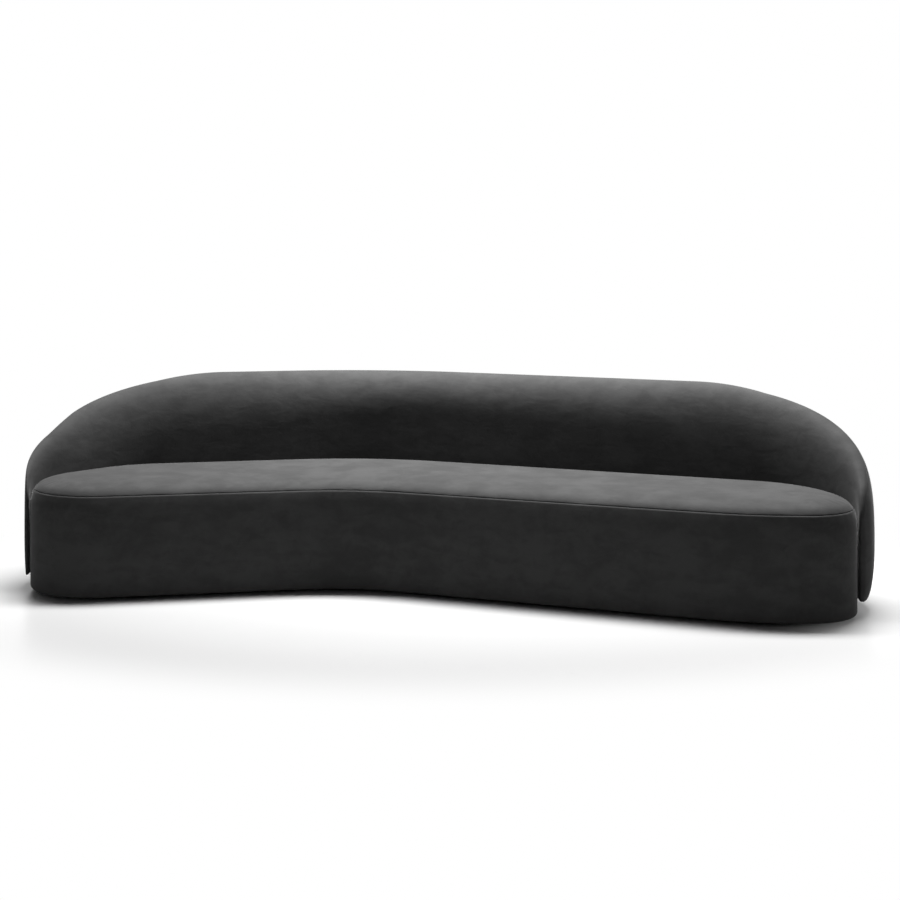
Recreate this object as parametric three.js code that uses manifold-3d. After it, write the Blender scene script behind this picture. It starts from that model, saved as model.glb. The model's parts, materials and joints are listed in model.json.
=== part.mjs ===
// Curved sofa: one long seat block with a bend, and a padded back shell wrapped round its back and ends.
// Millimetres, +Z up. The front faces -Y and the long arm of the seat runs to +X.
// The origin is on the floor, in the middle of the whole sofa's box.

import * as THREE from 'three';
import { mergeVertices } from 'three/addons/utils/BufferGeometryUtils.js';
import Module from 'manifold-3d';

const wasm = await Module();
wasm.setup();

// Seat plan at its widest level. "Along" runs out along an arm's front line from the front corner of
// the bend, and "across" runs from the front line to the back. A straight stretch is left between the
// two roundings at each arm's end, and the wider rounding takes what is left of the end.
const rightSweepAngle = 22;
const leftSweepAngle = 11;
const frontBendRadius = 700;
const rightFrontAlong = 1500;
const rightFrontRadius = 800;
const rightTipRun = 375;
const rightTipAcross = 125;
const rightTipRadius = 200;
const rightBackTuck = 155;
const rightBackDepth = 630;
const rightEndStraight = 15;
const bendBackAlong = -215;
const bendDepth = 670;
const bendBackRadius = 1060;
const leftBackAlong = 855;
const leftBackDepth = 658;
const leftBackRadius = 460;
const leftTipRun = 795;
const leftEndStraight = 136;

// Seat heights and the rounding of its edges.
const floorGap = 12;
const seatHeight = 412;
const crownRise = 6;
const crownRun = 120;
const shoulderRun = 60;
const shoulderDrop = 85;
const seamDrop = 32;
const hemRun = 12;
const hemRise = 18;
const hemTurnUnder = 45;

// Back shell: a tapering pad that is a thin ridge at both front ends.
const backHeight = 757;
const shellFloorGap = 50;
const shellGap = 6;
const ridgeThickness = 14;
const rightRidgeAngle = 10.5;
const leftRidgeAngle = 10;
const rightSwellRun = 465;
const leftSwellRun = 950;
const rightSwellPower = 0.7;
const leftSwellPower = 1;
const rightCrestSwellRun = 570;
const rightCrestSwellPower = 1.25;
const shellReach = 155;
const crestReach = 116;
const rightCrestRun = 860;
const leftCrestRun = 950;
const ridgeHeight = 400;
const ridgeTopRadius = 60;
const ridgeFootRadius = 12;
const shellEdgeRadius = 8;
const footTuck = 60;
const ridgeTuck = 4;

// Heights at which a shell section is cut, as shares of its height, and the two that shape it.
const levelShares = [0, 0.03, 0.16, 0.4, 0.55, 0.7, 0.85, 0.95, 1];
const bulgeShare = 0.4;
const bulgePower = 2.8;
const leanShare = 0.7;
const padTopLevel = 6;
const slimShare = 0.4;

// Covers, foam and panels.
const coverThickness = 2;
const fitGap = 0.3;
const twistGap = 3;
const bandFoam = 15;
const innerPad = 22;
const outerPad = 12;
const innerPadShare = 0.6;
const innerPanel = 5;
const outerPanel = 4;
const dustCoverThickness = 1.5;

// Timber frame.
const baseBoard = 18;
const apronThickness = 12;
const topRailThickness = 18;
const topRailWidth = 70;
const webThickness = 2.5;
const webWidth = 60;
const webOverlap = 8;
const foamSkirt = 6.5;
const ribThickness = 18;
const backRibThickness = 24;
const shellRailThickness = 18;
const rightFrameStart = 350;
const leftFrameStart = 560;
const ribSlack = 2;

// Fixings and feet.
const boltRadius = 5;
const boltHeadRadius = 12;
const boltHeadThickness = 4;
const boltHeight = 200;
const boltBite = 30;
const boltSides = 8;
const holeSlack = 0.4;
const glideRadius = 24;
const glideInset = 110;
const glideChamfer = 3;
const glideSides = 16;

// Where repeated pieces sit, as shares of the stretch that carries them.
const rightRibShares = [0.12, 0.34, 0.55, 0.76, 0.94];
const leftRibShares = [0.23, 0.51, 0.79];
const rightWebShares = [0.02, 0.23, 0.44, 0.65, 0.85];
const leftWebShares = [0.11, 0.37, 0.64, 0.9];
const glideShares = [0.03, 0.15, 0.28, 0.4, 0.53, 0.66, 0.78, 0.9];
const backRibShares = [0.03, 0.16, 0.3, 0.43, 0.57, 0.7, 0.84, 0.97];
const boltedRibs = [1, 3, 4, 5, 6, 8];

// How finely round stretches are cut.
const chordError = 2;
const endStep = 150;
const middleStep = 300;
const leastStepShare = 0.25;
const ridgeArcAngles = [30, 60, 90];
const topArcAngles = [50, 70, 90];
const weldTolerance = 0.001;

const black = { color: 0x2a2a2b, roughness: 0.9, metalness: 0 };
const finishes = {
  velvet: black,
  foam: { color: 0xd9cfae, roughness: 1, metalness: 0 },
  wadding: { color: 0xe9e7e0, roughness: 1, metalness: 0 },
  plywood: { color: 0xc9a77a, roughness: 0.7, metalness: 0 },
  webbing: { color: 0x3a3d42, roughness: 0.9, metalness: 0 },
  cambric: { color: 0x17171a, roughness: 1, metalness: 0 },
  steel: { color: 0xa9adb1, roughness: 0.35, metalness: 1 },
  nylon: { color: 0x141414, roughness: 0.5, metalness: 0 },
};

const sofa = new THREE.Group();

// Adds one named piece to the sofa.
function addPiece(name, geometry, finish) {
  const mesh = new THREE.Mesh(geometry, new THREE.MeshStandardMaterial(finishes[finish]));
  mesh.name = name;
  sofa.add(mesh);
  return mesh;
}

// Plan point on one arm, measured from the front corner of the bend. Side is 1 for right, -1 for left.
function armPoint(side, sweepAngle, along, across) {
  const turn = THREE.MathUtils.degToRad(sweepAngle);
  const x = side * (along * Math.cos(turn) + across * Math.sin(turn));
  return new THREE.Vector2(x, across * Math.cos(turn) - along * Math.sin(turn));
}

const right = (along, across) => armPoint(1, rightSweepAngle, along, across);
const left = (along, across) => armPoint(-1, leftSweepAngle, along, across);

// Corners of the plan, counterclockwise from the front of the right arm.
const rightTipAlong = rightFrontAlong + rightTipRun;
const leftTipAlong = leftBackAlong + leftTipRun;
const corners = [
  { at: right(rightFrontAlong, 0), radius: rightFrontRadius },
  { at: right(rightTipAlong, rightTipAcross), radius: rightTipRadius },
  { at: right(rightTipAlong - rightBackTuck, rightBackDepth) },
  { at: right(bendBackAlong, bendDepth), radius: bendBackRadius },
  { at: left(leftBackAlong, leftBackDepth), radius: leftBackRadius },
  { at: left(leftTipAlong, 0) },
  { at: right(0, 0), radius: frontBendRadius },
];
const rightTipIndex = 1;
const rightBackIndex = 2;
const leftBackIndex = 4;
const leftTipIndex = 5;

corners.forEach((corner, i) => {
  const next = corners[(i + 1) % corners.length];
  corner.heading = next.at.clone().sub(corner.at).normalize();
});

// Turn of the outline at a corner, and how far from the corner its rounding starts.
function turnAt(index) {
  const before = corners.at(index - 1).heading;
  const after = corners[index].heading;
  return Math.atan2(before.cross(after), before.dot(after));
}

const roundingRun = (index) => corners[index].radius * Math.tan(Math.abs(turnAt(index)) / 2);

// Radius of a corner whose rounding takes what a straight stretch and the other rounding leave.
function radiusBeside(index, other, straight) {
  const edge = corners[index].at.distanceTo(corners[other].at);
  return (edge - straight - roundingRun(other)) / Math.tan(Math.abs(turnAt(index)) / 2);
}

corners[rightBackIndex].radius = radiusBeside(rightBackIndex, rightTipIndex, rightEndStraight);
corners[leftTipIndex].radius = radiusBeside(leftTipIndex, leftBackIndex, leftEndStraight);

const inwardOf = (heading) => new THREE.Vector2(-heading.y, heading.x);

// The arc that rounds one corner, with the whole plan drawn in by an inset.
function cornerArc(index, inset) {
  const corner = corners[index];
  const before = corners.at(index - 1).heading;
  const inwardBefore = inwardOf(before);
  const inwardAfter = inwardOf(corner.heading);
  const turn = turnAt(index);
  const side = Math.sign(turn);
  const radius = Math.max(0, corner.radius - side * inset);
  const mitre = inset / (1 + inwardBefore.dot(inwardAfter));
  const at = inwardBefore.clone().add(inwardAfter).multiplyScalar(mitre).add(corner.at);
  const start = at.addScaledVector(before, -radius * Math.tan(Math.abs(turn) / 2));
  const centre = start.addScaledVector(inwardBefore, side * radius);
  const firstNormal = Math.atan2(-inwardBefore.y, -inwardBefore.x);
  return { centre, radius, side, firstNormal, turn };
}

// Plan station on an arc: the point, and the direction straight out of the seat there.
function arcStation(arc, normalAngle) {
  const nx = Math.cos(normalAngle);
  const ny = Math.sin(normalAngle);
  const reach = arc.side * arc.radius;
  return { x: arc.centre.x + reach * nx, y: arc.centre.y + reach * ny, nx, ny };
}

const arcSteps = (radius, turn) => Math.ceil(Math.abs(turn) / (2 * Math.acos(1 - chordError / radius)));

// The seat's plan outline drawn in by an inset. Every inset gives as many points, in the same order.
function outline(inset) {
  const stations = [];
  corners.forEach((corner, index) => {
    const arc = cornerArc(index, inset);
    const steps = arcSteps(corner.radius, arc.turn);
    for (let step = 0; step <= steps; step += 1) {
      stations.push(arcStation(arc, arc.firstNormal + (arc.turn * step) / steps));
    }
  });
  return stations;
}

// The stretches that the back shell follows, from its right ridge round the back to its left ridge.
function shellPath() {
  const pieces = [];
  for (let index = rightTipIndex; index <= leftTipIndex; index += 1) {
    const arc = cornerArc(index, 0);
    const from = index === rightTipIndex ? THREE.MathUtils.degToRad(-rightRidgeAngle) : arc.firstNormal;
    const whole = arc.firstNormal + arc.turn;
    const to = index === leftTipIndex ? Math.PI + THREE.MathUtils.degToRad(leftRidgeAngle) : whole;
    if (pieces.length > 0) {
      const start = pieces.at(-1).end;
      const end = arcStation(arc, from);
      pieces.push({ start, end, length: Math.hypot(end.x - start.x, end.y - start.y) });
    }
    pieces.push({ arc, from, to, end: arcStation(arc, to), length: arc.radius * (to - from) });
  }
  let begin = 0;
  pieces.forEach((piece) => {
    piece.begin = begin;
    begin += piece.length;
  });
  return pieces;
}

const path = shellPath();
const pathLength = path.at(-1).begin + path.at(-1).length;

// Plan station at a distance along the shell's path.
function pathStation(distance) {
  const piece = path.findLast((candidate) => candidate.begin <= distance) ?? path[0];
  const share = (distance - piece.begin) / piece.length;
  if (piece.arc) return arcStation(piece.arc, piece.from + (piece.to - piece.from) * share);
  const { start, end } = piece;
  const x = start.x + (end.x - start.x) * share;
  const y = start.y + (end.y - start.y) * share;
  return { x, y, nx: end.nx, ny: end.ny };
}

// Share from 0 to 1 that a part of the shell has swollen by at a distance from its ridge.
function swollen(toRidge, run, power) {
  return Math.sin((Math.PI / 2) * Math.min(1, toRidge / run)) ** power;
}

// The ridge that a distance along the path is nearer to: how far off it is, how much the shell and its
// crest have swollen there, and how long a run the crest rises over.
function nearRidge(distance) {
  if (distance < pathLength / 2) {
    const growth = swollen(distance, rightSwellRun, rightSwellPower);
    const crestGrowth = swollen(distance, rightCrestSwellRun, rightCrestSwellPower);
    return { toRidge: distance, growth, crestGrowth, crestRun: rightCrestRun };
  }
  const toRidge = pathLength - distance;
  const growth = swollen(toRidge, leftSwellRun, leftSwellPower);
  return { toRidge, growth, crestGrowth: growth, crestRun: leftCrestRun };
}

const frameEnds = [rightFrameStart, pathLength - leftFrameStart];

// Distances along the path at which the shell is cut: close together round each ridge, then in steps.
function shellDistances() {
  const depthOnArc = (radius, angle) => radius * (1 - Math.cos(THREE.MathUtils.degToRad(angle)));
  const near = [
    ...ridgeArcAngles.map((angle) => depthOnArc(ridgeThickness / 2, angle)),
    ...topArcAngles.map((angle) => depthOnArc(ridgeTopRadius, angle)),
  ];
  const inner = [];
  path.forEach((piece) => {
    const { toRidge, crestRun } = nearRidge(piece.begin + piece.length / 2);
    const step = toRidge < crestRun ? endStep : middleStep;
    const bends = piece.arc ? arcSteps(piece.arc.radius, piece.to - piece.from) : 1;
    const steps = Math.max(bends, Math.ceil(piece.length / step));
    for (let count = 0; count < steps; count += 1) inner.push(piece.begin + (piece.length * count) / steps);
  });
  const leastStep = endStep * leastStepShare;
  const clear = ridgeTopRadius + leastStep;
  const kept = inner.filter((distance) => distance > clear && distance < pathLength - clear);
  const spaced = kept.filter((distance) => frameEnds.every((edge) => Math.abs(edge - distance) > leastStep));
  const far = near.map((distance) => pathLength - distance);
  return [...near, ...spaced, ...frameEnds, ...far].sort((a, b) => a - b);
}

const distances = shellDistances();

// Draws a line of section points in to its right-hand side by a distance.
function insetLine(points, distance, closed) {
  const last = points.length - 1;
  const sideways = (from, to) => new THREE.Vector2(to.y - from.y, from.x - to.x).normalize();
  return points.map((point, i) => {
    const before = i > 0 || closed ? sideways(points.at(i - 1), point) : null;
    const after = i < last || closed ? sideways(point, points[(i + 1) % points.length]) : null;
    if (!before) return point.clone().addScaledVector(after, distance);
    if (!after) return point.clone().addScaledVector(before, distance);
    return before.clone().add(after).multiplyScalar(distance / (1 + before.dot(after))).add(point);
  });
}

// Point on the way from one section point to another, a given distance from the first.
function towards(from, to, distance) {
  return from.clone().add(to.clone().sub(from).setLength(distance));
}

// What shapes the shell at one distance along its path: its reach out from the seat at any share of
// its height, for both faces, and the heights of its foot and crest.
function shellShape(distance) {
  const { toRidge, growth, crestGrowth, crestRun } = nearRidge(distance);
  const rounded = (radius) => Math.sqrt(1 - (1 - Math.min(1, toRidge / radius)) ** 2);
  const ridgeRadius = ridgeThickness / 2;
  const plump = rounded(ridgeRadius);
  const ridgeLoss = ridgeRadius * (1 - plump);
  const fall = Math.max(0, 1 - toRidge / crestRun) ** 2;
  const crestHeight = backHeight - (backHeight - ridgeHeight) * fall;
  const top = crestHeight - ridgeTopRadius * (1 - rounded(ridgeTopRadius)) - ridgeLoss;
  const foot = shellFloorGap + ridgeFootRadius * (1 - rounded(ridgeFootRadius)) + ridgeLoss;
  const middle = shellGap + ridgeRadius;
  const grown = (atRidge, atMiddle, by) => atRidge + (atMiddle - atRidge) * by;
  const outermost = grown(shellGap + ridgeThickness, shellReach, growth);
  const crest = grown(middle, crestReach, crestGrowth);
  const tuck = grown(ridgeTuck, footTuck, growth);
  const innerFoot = shellGap + Math.min(shellEdgeRadius, (outermost - tuck - shellGap) / 2);
  const slimmed = (reach) => middle + (reach - middle) * plump;
  const inner = (share) => {
    const lean = Math.max(0, (share - leanShare) / (1 - leanShare));
    return slimmed(share === 0 ? innerFoot : crest - (crest - shellGap) * Math.sqrt(1 - lean ** 2));
  };
  const outer = (share) => {
    const up = Math.max(0, (share - bulgeShare) / (1 - bulgeShare));
    const down = Math.max(0, 1 - share / bulgeShare);
    const over = crest + (outermost - crest) * (1 - up ** bulgePower) ** (1 / bulgePower);
    return slimmed(share >= bulgeShare ? over : outermost - tuck * (1 - Math.sqrt(1 - down ** 2)));
  };
  return { inner, outer, foot, top };
}

// Outline of the shell's section, as [reach out from the seat, height] points: up the inner face,
// over the crest and down the outer face.
function shellSection(distance) {
  const { inner, outer, foot, top } = shellShape(distance);
  const height = (share) => foot + (top - foot) * share;
  const up = levelShares.map((share) => new THREE.Vector2(inner(share), height(share)));
  const down = levelShares.map((share) => new THREE.Vector2(outer(share), height(share)));
  return [...up, ...down.toReversed().slice(1)];
}

// The same section drawn in by a depth, which is less where the ridge is too slim for it.
function shellInside(distance, depth) {
  const { inner, outer } = shellShape(distance);
  const slim = (outer(0) - inner(0)) * slimShare;
  return insetLine(shellSection(distance), Math.min(depth, slim), true);
}

// Places a section point of the shell in space.
function shellPoint(station, point) {
  return [station.x + station.nx * point.x, station.y + station.ny * point.x, point.y];
}

// Builds a closed body from rows of points, each row one closed section with a front and a back line
// of as many points. A looped body joins its last section to its first, and any other is capped.
// Every face splits from here-low to there-high, so that bodies that lie against each other fit.
function loft(sections, looped) {
  const positions = [];
  const faces = [];
  const perSection = sections[0].front.length * 2;
  sections.forEach(({ front, back }) => positions.push(...front.flat(), ...back.toReversed().flat()));
  const quad = (a, b, c, d) => faces.push(a, b, c, a, c, d);
  const spans = looped ? sections.length : sections.length - 1;
  for (let i = 0; i < spans; i += 1) {
    const here = i * perSection;
    const there = ((i + 1) % sections.length) * perSection;
    for (let k = 0; k < perSection; k += 1) {
      const next = (k + 1) % perSection;
      const face = [here + k, here + next, there + next, there + k];
      if (k < perSection / 2) quad(...face);
      else quad(...face.slice(1), face[0]);
    }
  }
  if (!looped) {
    const end = (sections.length - 1) * perSection;
    for (let k = 0; k < perSection / 2 - 1; k += 1) {
      const across = perSection - 1 - k;
      quad(k, across, across - 1, k + 1);
      quad(end + k, end + k + 1, end + across - 1, end + across);
    }
  }
  return closedGeometry(positions, faces);
}

// Shares the vertices of a geometry and drops its empty triangles.
function welded(geometry) {
  const bare = geometry.clone();
  bare.deleteAttribute('normal');
  bare.deleteAttribute('uv');
  const merged = mergeVertices(bare, weldTolerance);
  const index = [...merged.index.array];
  const kept = [];
  for (let i = 0; i < index.length; i += 3) {
    const [a, b, c] = index.slice(i, i + 3);
    if (a !== b && b !== c && c !== a) kept.push(a, b, c);
  }
  merged.setIndex(kept);
  merged.computeVertexNormals();
  return merged;
}

// Closed geometry from points and faces, turned so that its faces point out.
function closedGeometry(positions, faces) {
  const raw = new THREE.BufferGeometry();
  raw.setAttribute('position', new THREE.Float32BufferAttribute(positions, 3));
  raw.setIndex(faces);
  const body = welded(raw);
  const index = [...body.index.array];
  const point = (i) => new THREE.Vector3().fromBufferAttribute(body.attributes.position, index[i]);
  let volume = 0;
  for (let i = 0; i < index.length; i += 3) volume += point(i).dot(point(i + 1).cross(point(i + 2)));
  if (volume < 0) body.setIndex(index.toReversed());
  body.computeVertexNormals();
  return body;
}

// Plate or dish with the seat's plan outline: rings of the top face, then rings of the underside,
// each an inset and a height, listed from the rim to the middle.
function dish(topRings, bottomRings) {
  const positions = [];
  const faces = [];
  const ringStarts = [...bottomRings.toReversed(), ...topRings].map(({ x: inset, y: height }) => {
    const start = positions.length / 3;
    outline(inset).forEach(({ x, y }) => positions.push(x, y, height));
    return start;
  });
  const count = outline(0).length;
  for (let ring = 0; ring + 1 < ringStarts.length; ring += 1) {
    for (let k = 0; k < count; k += 1) {
      const next = (k + 1) % count;
      const [low, high] = [ringStarts[ring], ringStarts[ring + 1]];
      faces.push(low + k, low + next, high + next, low + k, high + next, high + k);
    }
  }
  const cap = (ring, start, flipped) => {
    const contour = outline(ring.x).map(({ x, y }) => new THREE.Vector2(x, y));
    THREE.ShapeUtils.triangulateShape(contour, []).forEach(([a, b, c]) => {
      faces.push(...(flipped ? [start + c, start + b, start + a] : [start + a, start + b, start + c]));
    });
  };
  cap(bottomRings.at(-1), ringStarts[0], true);
  cap(topRings.at(-1), ringStarts.at(-1), false);
  return closedGeometry(positions, faces);
}

const ringAt = (inset, height) => new THREE.Vector2(inset, height);
const plate = (inset, low, high) => dish([ringAt(inset, high)], [ringAt(inset, low)]);

// Turns a geometry into a solid for joining and cutting, and back.
function toSolid(geometry) {
  const body = welded(geometry);
  const vertProperties = new Float32Array(body.attributes.position.array);
  const triVerts = new Uint32Array(body.index.array);
  return new wasm.Manifold(new wasm.Mesh({ numProp: 3, vertProperties, triVerts }));
}

function fromSolid(solid) {
  const mesh = solid.getMesh();
  const geometry = new THREE.BufferGeometry();
  geometry.setAttribute('position', new THREE.Float32BufferAttribute(mesh.vertProperties, 3));
  geometry.setIndex([...mesh.triVerts]);
  geometry.computeVertexNormals();
  return geometry;
}

// Cuts tools out of a geometry.
function cut(geometry, tools) {
  return fromSolid(tools.reduce((solid, tool) => solid.subtract(toSolid(tool)), toSolid(geometry)));
}

// Piece of ring along the outline between two of its points, from rows of [inset, height] pairs.
function strip(front, back, first, last) {
  const count = outline(0).length;
  const rings = new Map();
  [...front, ...back].forEach(({ x }) => rings.set(x, outline(x)));
  const total = ((last - first + count) % count) + 1;
  const sections = Array.from({ length: total }, (_, step) => {
    const at = (first + step) % count;
    const slide = (step === 0 ? fitGap : 0) - (step === total - 1 ? fitGap : 0);
    const place = ({ x: inset, y: height }) => {
      const { x, y, nx, ny } = rings.get(inset)[at];
      return [x - ny * slide, y + nx * slide, height];
    };
    return { front: front.map(place), back: back.map(place) };
  });
  return loft(sections, false);
}

// Closed ring that follows the whole outline.
function hoop(front, back) {
  const place = (point) => outline(point.x).map(({ x, y }) => [x, y, point.y]);
  const frontRings = front.map(place);
  const backRings = back.map(place);
  const sections = outline(0).map((_, k) => ({
    front: frontRings.map((ring) => ring[k]),
    back: backRings.map((ring) => ring[k]),
  }));
  return loft(sections, true);
}

// Index of the outline point in the middle of a corner's arc.
function cornerMiddle(index) {
  const steps = corners.slice(0, index).map((corner, i) => arcSteps(corner.radius, turnAt(i)) + 1);
  const own = arcSteps(corners[index].radius, turnAt(index));
  return steps.reduce((sum, count) => sum + count, 0) + Math.floor(own / 2);
}

const rightSplit = cornerMiddle(rightTipIndex);
const leftSplit = cornerMiddle(leftTipIndex);

// Seat profile from the hem under the block, up the band, over the shoulder and in to the middle.
const shoulderStart = seatHeight - shoulderDrop;
const seamHeight = seatHeight - seamDrop;
const shoulderInset = (height) => {
  const up = (height - shoulderStart) / shoulderDrop;
  return shoulderRun * (1 - Math.sqrt(1 - up ** 2));
};
const shoulderShares = [0.82, 0.94];
const crownShares = [0.45, 1];
const seatProfile = [
  ringAt(hemTurnUnder, floorGap),
  ringAt(hemRun, floorGap),
  ringAt(0, floorGap + hemRise),
  ringAt(0, shoulderStart),
  ringAt(shoulderInset((shoulderStart + seamHeight) / 2), (shoulderStart + seamHeight) / 2),
  ringAt(shoulderInset(seamHeight), seamHeight),
  ...shoulderShares.map((share) => {
    const height = shoulderStart + shoulderDrop * share;
    return ringAt(shoulderInset(height), height);
  }),
  ringAt(shoulderRun, seatHeight),
  ...crownShares.map((share) => {
    const rise = crownRise * Math.sin((Math.PI / 2) * share);
    return ringAt(shoulderRun + crownRun * share, seatHeight + rise);
  }),
];
const seamIndex = 5;
const underCover = insetLine(seatProfile, coverThickness, false);
const underFit = insetLine(seatProfile, coverThickness + fitGap, false);

// The band cover runs from the hem up to the seam, and the seat top cover from the seam inwards.
function addSeatCovers() {
  const bandOf = (profile) => {
    const seam = towards(profile[seamIndex], profile[seamIndex - 1], fitGap / 2);
    return [...profile.slice(0, seamIndex), seam];
  };
  const topOf = (profile) => {
    const seam = towards(profile[seamIndex], profile[seamIndex + 1], fitGap / 2);
    return [seam, ...profile.slice(seamIndex + 1)];
  };
  addPiece('seat_band_cover', cut(hoop(bandOf(seatProfile), bandOf(underCover)), boltHoles), 'velvet');
  addPiece('seat_top_cover', dish(topOf(seatProfile), topOf(underCover)), 'velvet');
}

// Heights and insets of the frame follow from the covers and foam outside it.
const boardBottom = floorGap + coverThickness;
const boardTop = boardBottom + baseBoard;
const frameInset = coverThickness + fitGap + bandFoam + fitGap;
const apronInside = frameInset + apronThickness;
const seatFoamBottom = shoulderStart - foamSkirt;
const railTop = seatFoamBottom - webThickness;
const railBottom = railTop - topRailThickness;

function addSeatFoam() {
  const top = [ringAt(coverThickness + fitGap, shoulderStart), ...underFit.slice(seamIndex - 1)];
  const bottom = [ringAt(coverThickness + fitGap, seatFoamBottom)];
  addPiece('seat_foam', dish(top, bottom), 'foam');
  const outside = coverThickness + fitGap;
  const inside = outside + bandFoam;
  const bandTop = seatFoamBottom - fitGap;
  const front = [underFit[1], underFit[2], ringAt(outside, bandTop)];
  const back = front.map(({ y }) => ringAt(inside, y));
  addPiece('front_band_foam', strip(front, back, leftSplit, rightSplit), 'foam');
  addPiece('back_band_foam', cut(strip(front, back, rightSplit, leftSplit), boltHoles), 'foam');
}

// Frame rings: the aprons stand on the base board and carry the top rails.
function addSeatFrame() {
  addPiece('base_board', plate(frameInset, boardBottom, boardTop), 'plywood');
  const wall = (inset, low, high) => [ringAt(inset, low), ringAt(inset, high)];
  const apronFront = wall(frameInset, boardTop, railBottom);
  const apronBack = wall(apronInside, boardTop, railBottom);
  addPiece('front_apron', strip(apronFront, apronBack, leftSplit, rightSplit), 'plywood');
  addPiece('back_apron', cut(strip(apronFront, apronBack, rightSplit, leftSplit), boltHoles), 'plywood');
  const railFront = wall(frameInset, railBottom, railTop);
  const railBack = wall(frameInset + topRailWidth, railBottom, railTop);
  addPiece('front_top_rail', strip(railFront, railBack, leftSplit, rightSplit), 'plywood');
  addPiece('back_top_rail', strip(railFront, railBack, rightSplit, leftSplit), 'plywood');
}

// Place on one arm's line at a share of how far out the outline reaches when drawn in by an inset.
function alongArm(side, share, inset) {
  const outwards = side > 0 ? corners.at(-1).heading : corners[leftTipIndex].heading.clone().negate();
  return share * Math.max(...outline(inset).map(({ x, y }) => x * outwards.x + y * outwards.y));
}

// Bar that runs across one arm from front to back, ended by the outline drawn in by an inset.
function crossBar(side, along, width, inset, low, high) {
  const sweep = side > 0 ? rightSweepAngle : leftSweepAngle;
  const length = bendDepth * 2;
  const bar = new THREE.BoxGeometry(width, length, high - low);
  const at = armPoint(side, sweep, along, bendDepth / 2);
  bar.rotateZ(THREE.MathUtils.degToRad(-side * sweep));
  bar.translate(at.x, at.y, (low + high) / 2);
  return fromSolid(toSolid(bar).intersect(toSolid(plate(inset, low, high))));
}

function addCrossPieces() {
  const ribInset = apronInside + fitGap;
  const ribs = [
    ...leftRibShares.map((share) => [-1, share]).toReversed(),
    ...rightRibShares.map((share) => [1, share]),
  ];
  ribs.forEach(([side, share], i) => {
    const along = alongArm(side, share, ribInset);
    const rib = crossBar(side, along, ribThickness, ribInset, boardTop, railBottom);
    addPiece(`seat_rib_${i + 1}`, cut(rib, boltHeadSpaces), 'plywood');
  });
  const webInset = frameInset + webOverlap;
  const webs = [
    ...leftWebShares.map((share) => [-1, share]).toReversed(),
    ...rightWebShares.map((share) => [1, share]),
  ];
  webs.forEach(([side, share], i) => {
    const along = alongArm(side, share, webInset);
    const web = crossBar(side, along, webWidth, webInset, railTop, seatFoamBottom);
    addPiece(`webbing_${i + 1}`, web, 'webbing');
  });
}

// Underside: the dust cover lies inside the turned hem, and the glides stand under it.
function addUnderside() {
  const dustInset = hemTurnUnder + fitGap;
  const dustBottom = boardBottom - dustCoverThickness;
  addPiece('dust_cover', plate(dustInset, dustBottom, boardBottom), 'cambric');
  const ring = outline(glideInset);
  const runs = ring.map((station, i) => {
    const next = ring[(i + 1) % ring.length];
    return Math.hypot(next.x - station.x, next.y - station.y);
  });
  const around = runs.reduce((sum, run) => sum + run, 0);
  glideShares.forEach((share, i) => {
    let rest = share * around;
    let k = 0;
    while (rest > runs[k]) {
      rest -= runs[k];
      k += 1;
    }
    const next = ring[(k + 1) % ring.length];
    const x = ring[k].x + ((next.x - ring[k].x) * rest) / runs[k];
    const y = ring[k].y + ((next.y - ring[k].y) * rest) / runs[k];
    const profile = [
      new THREE.Vector2(0, 0),
      new THREE.Vector2(glideRadius - glideChamfer, 0),
      new THREE.Vector2(glideRadius, glideChamfer),
      new THREE.Vector2(glideRadius, dustBottom),
      new THREE.Vector2(0, dustBottom),
    ];
    const glide = welded(new THREE.LatheGeometry(profile, glideSides)).rotateX(Math.PI / 2);
    addPiece(`glide_${i + 1}`, glide, 'nylon').position.set(x, y, 0);
  });
}

// Shell covers: the inner one runs up from the foot to the crest seam, and the outer one from the same
// foot round under the shell and up its outside.
function addShellCovers() {
  const crest = levelShares.length - 1;
  const innerOf = (loop) => [...loop.slice(0, crest), towards(loop[crest], loop[crest - 1], fitGap)];
  const outerOf = (loop) => [
    towards(loop[0], loop.at(-1), fitGap),
    ...loop.slice(crest + 1).toReversed(),
    towards(loop[crest], loop[crest + 1], fitGap),
  ];
  const sheet = (part) => loft(distances.map((distance) => {
    const station = pathStation(distance);
    const place = (point) => shellPoint(station, point);
    const front = part(shellSection(distance)).map(place);
    const back = part(shellInside(distance, coverThickness)).map(place);
    return { front, back };
  }), false);
  addPiece('back_inner_cover', cut(sheet(innerOf), boltHoles), 'velvet');
  addPiece('back_outer_cover', sheet(outerOf), 'velvet');
}

// Reach of a rising line of section points at a height.
function reachAt(line, height) {
  const above = Math.max(1, line.findIndex((point) => point.y >= height));
  const [low, high] = [line[above - 1], line[above]];
  return low.x + ((high.x - low.x) * (height - low.y)) / (high.y - low.y);
}

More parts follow.
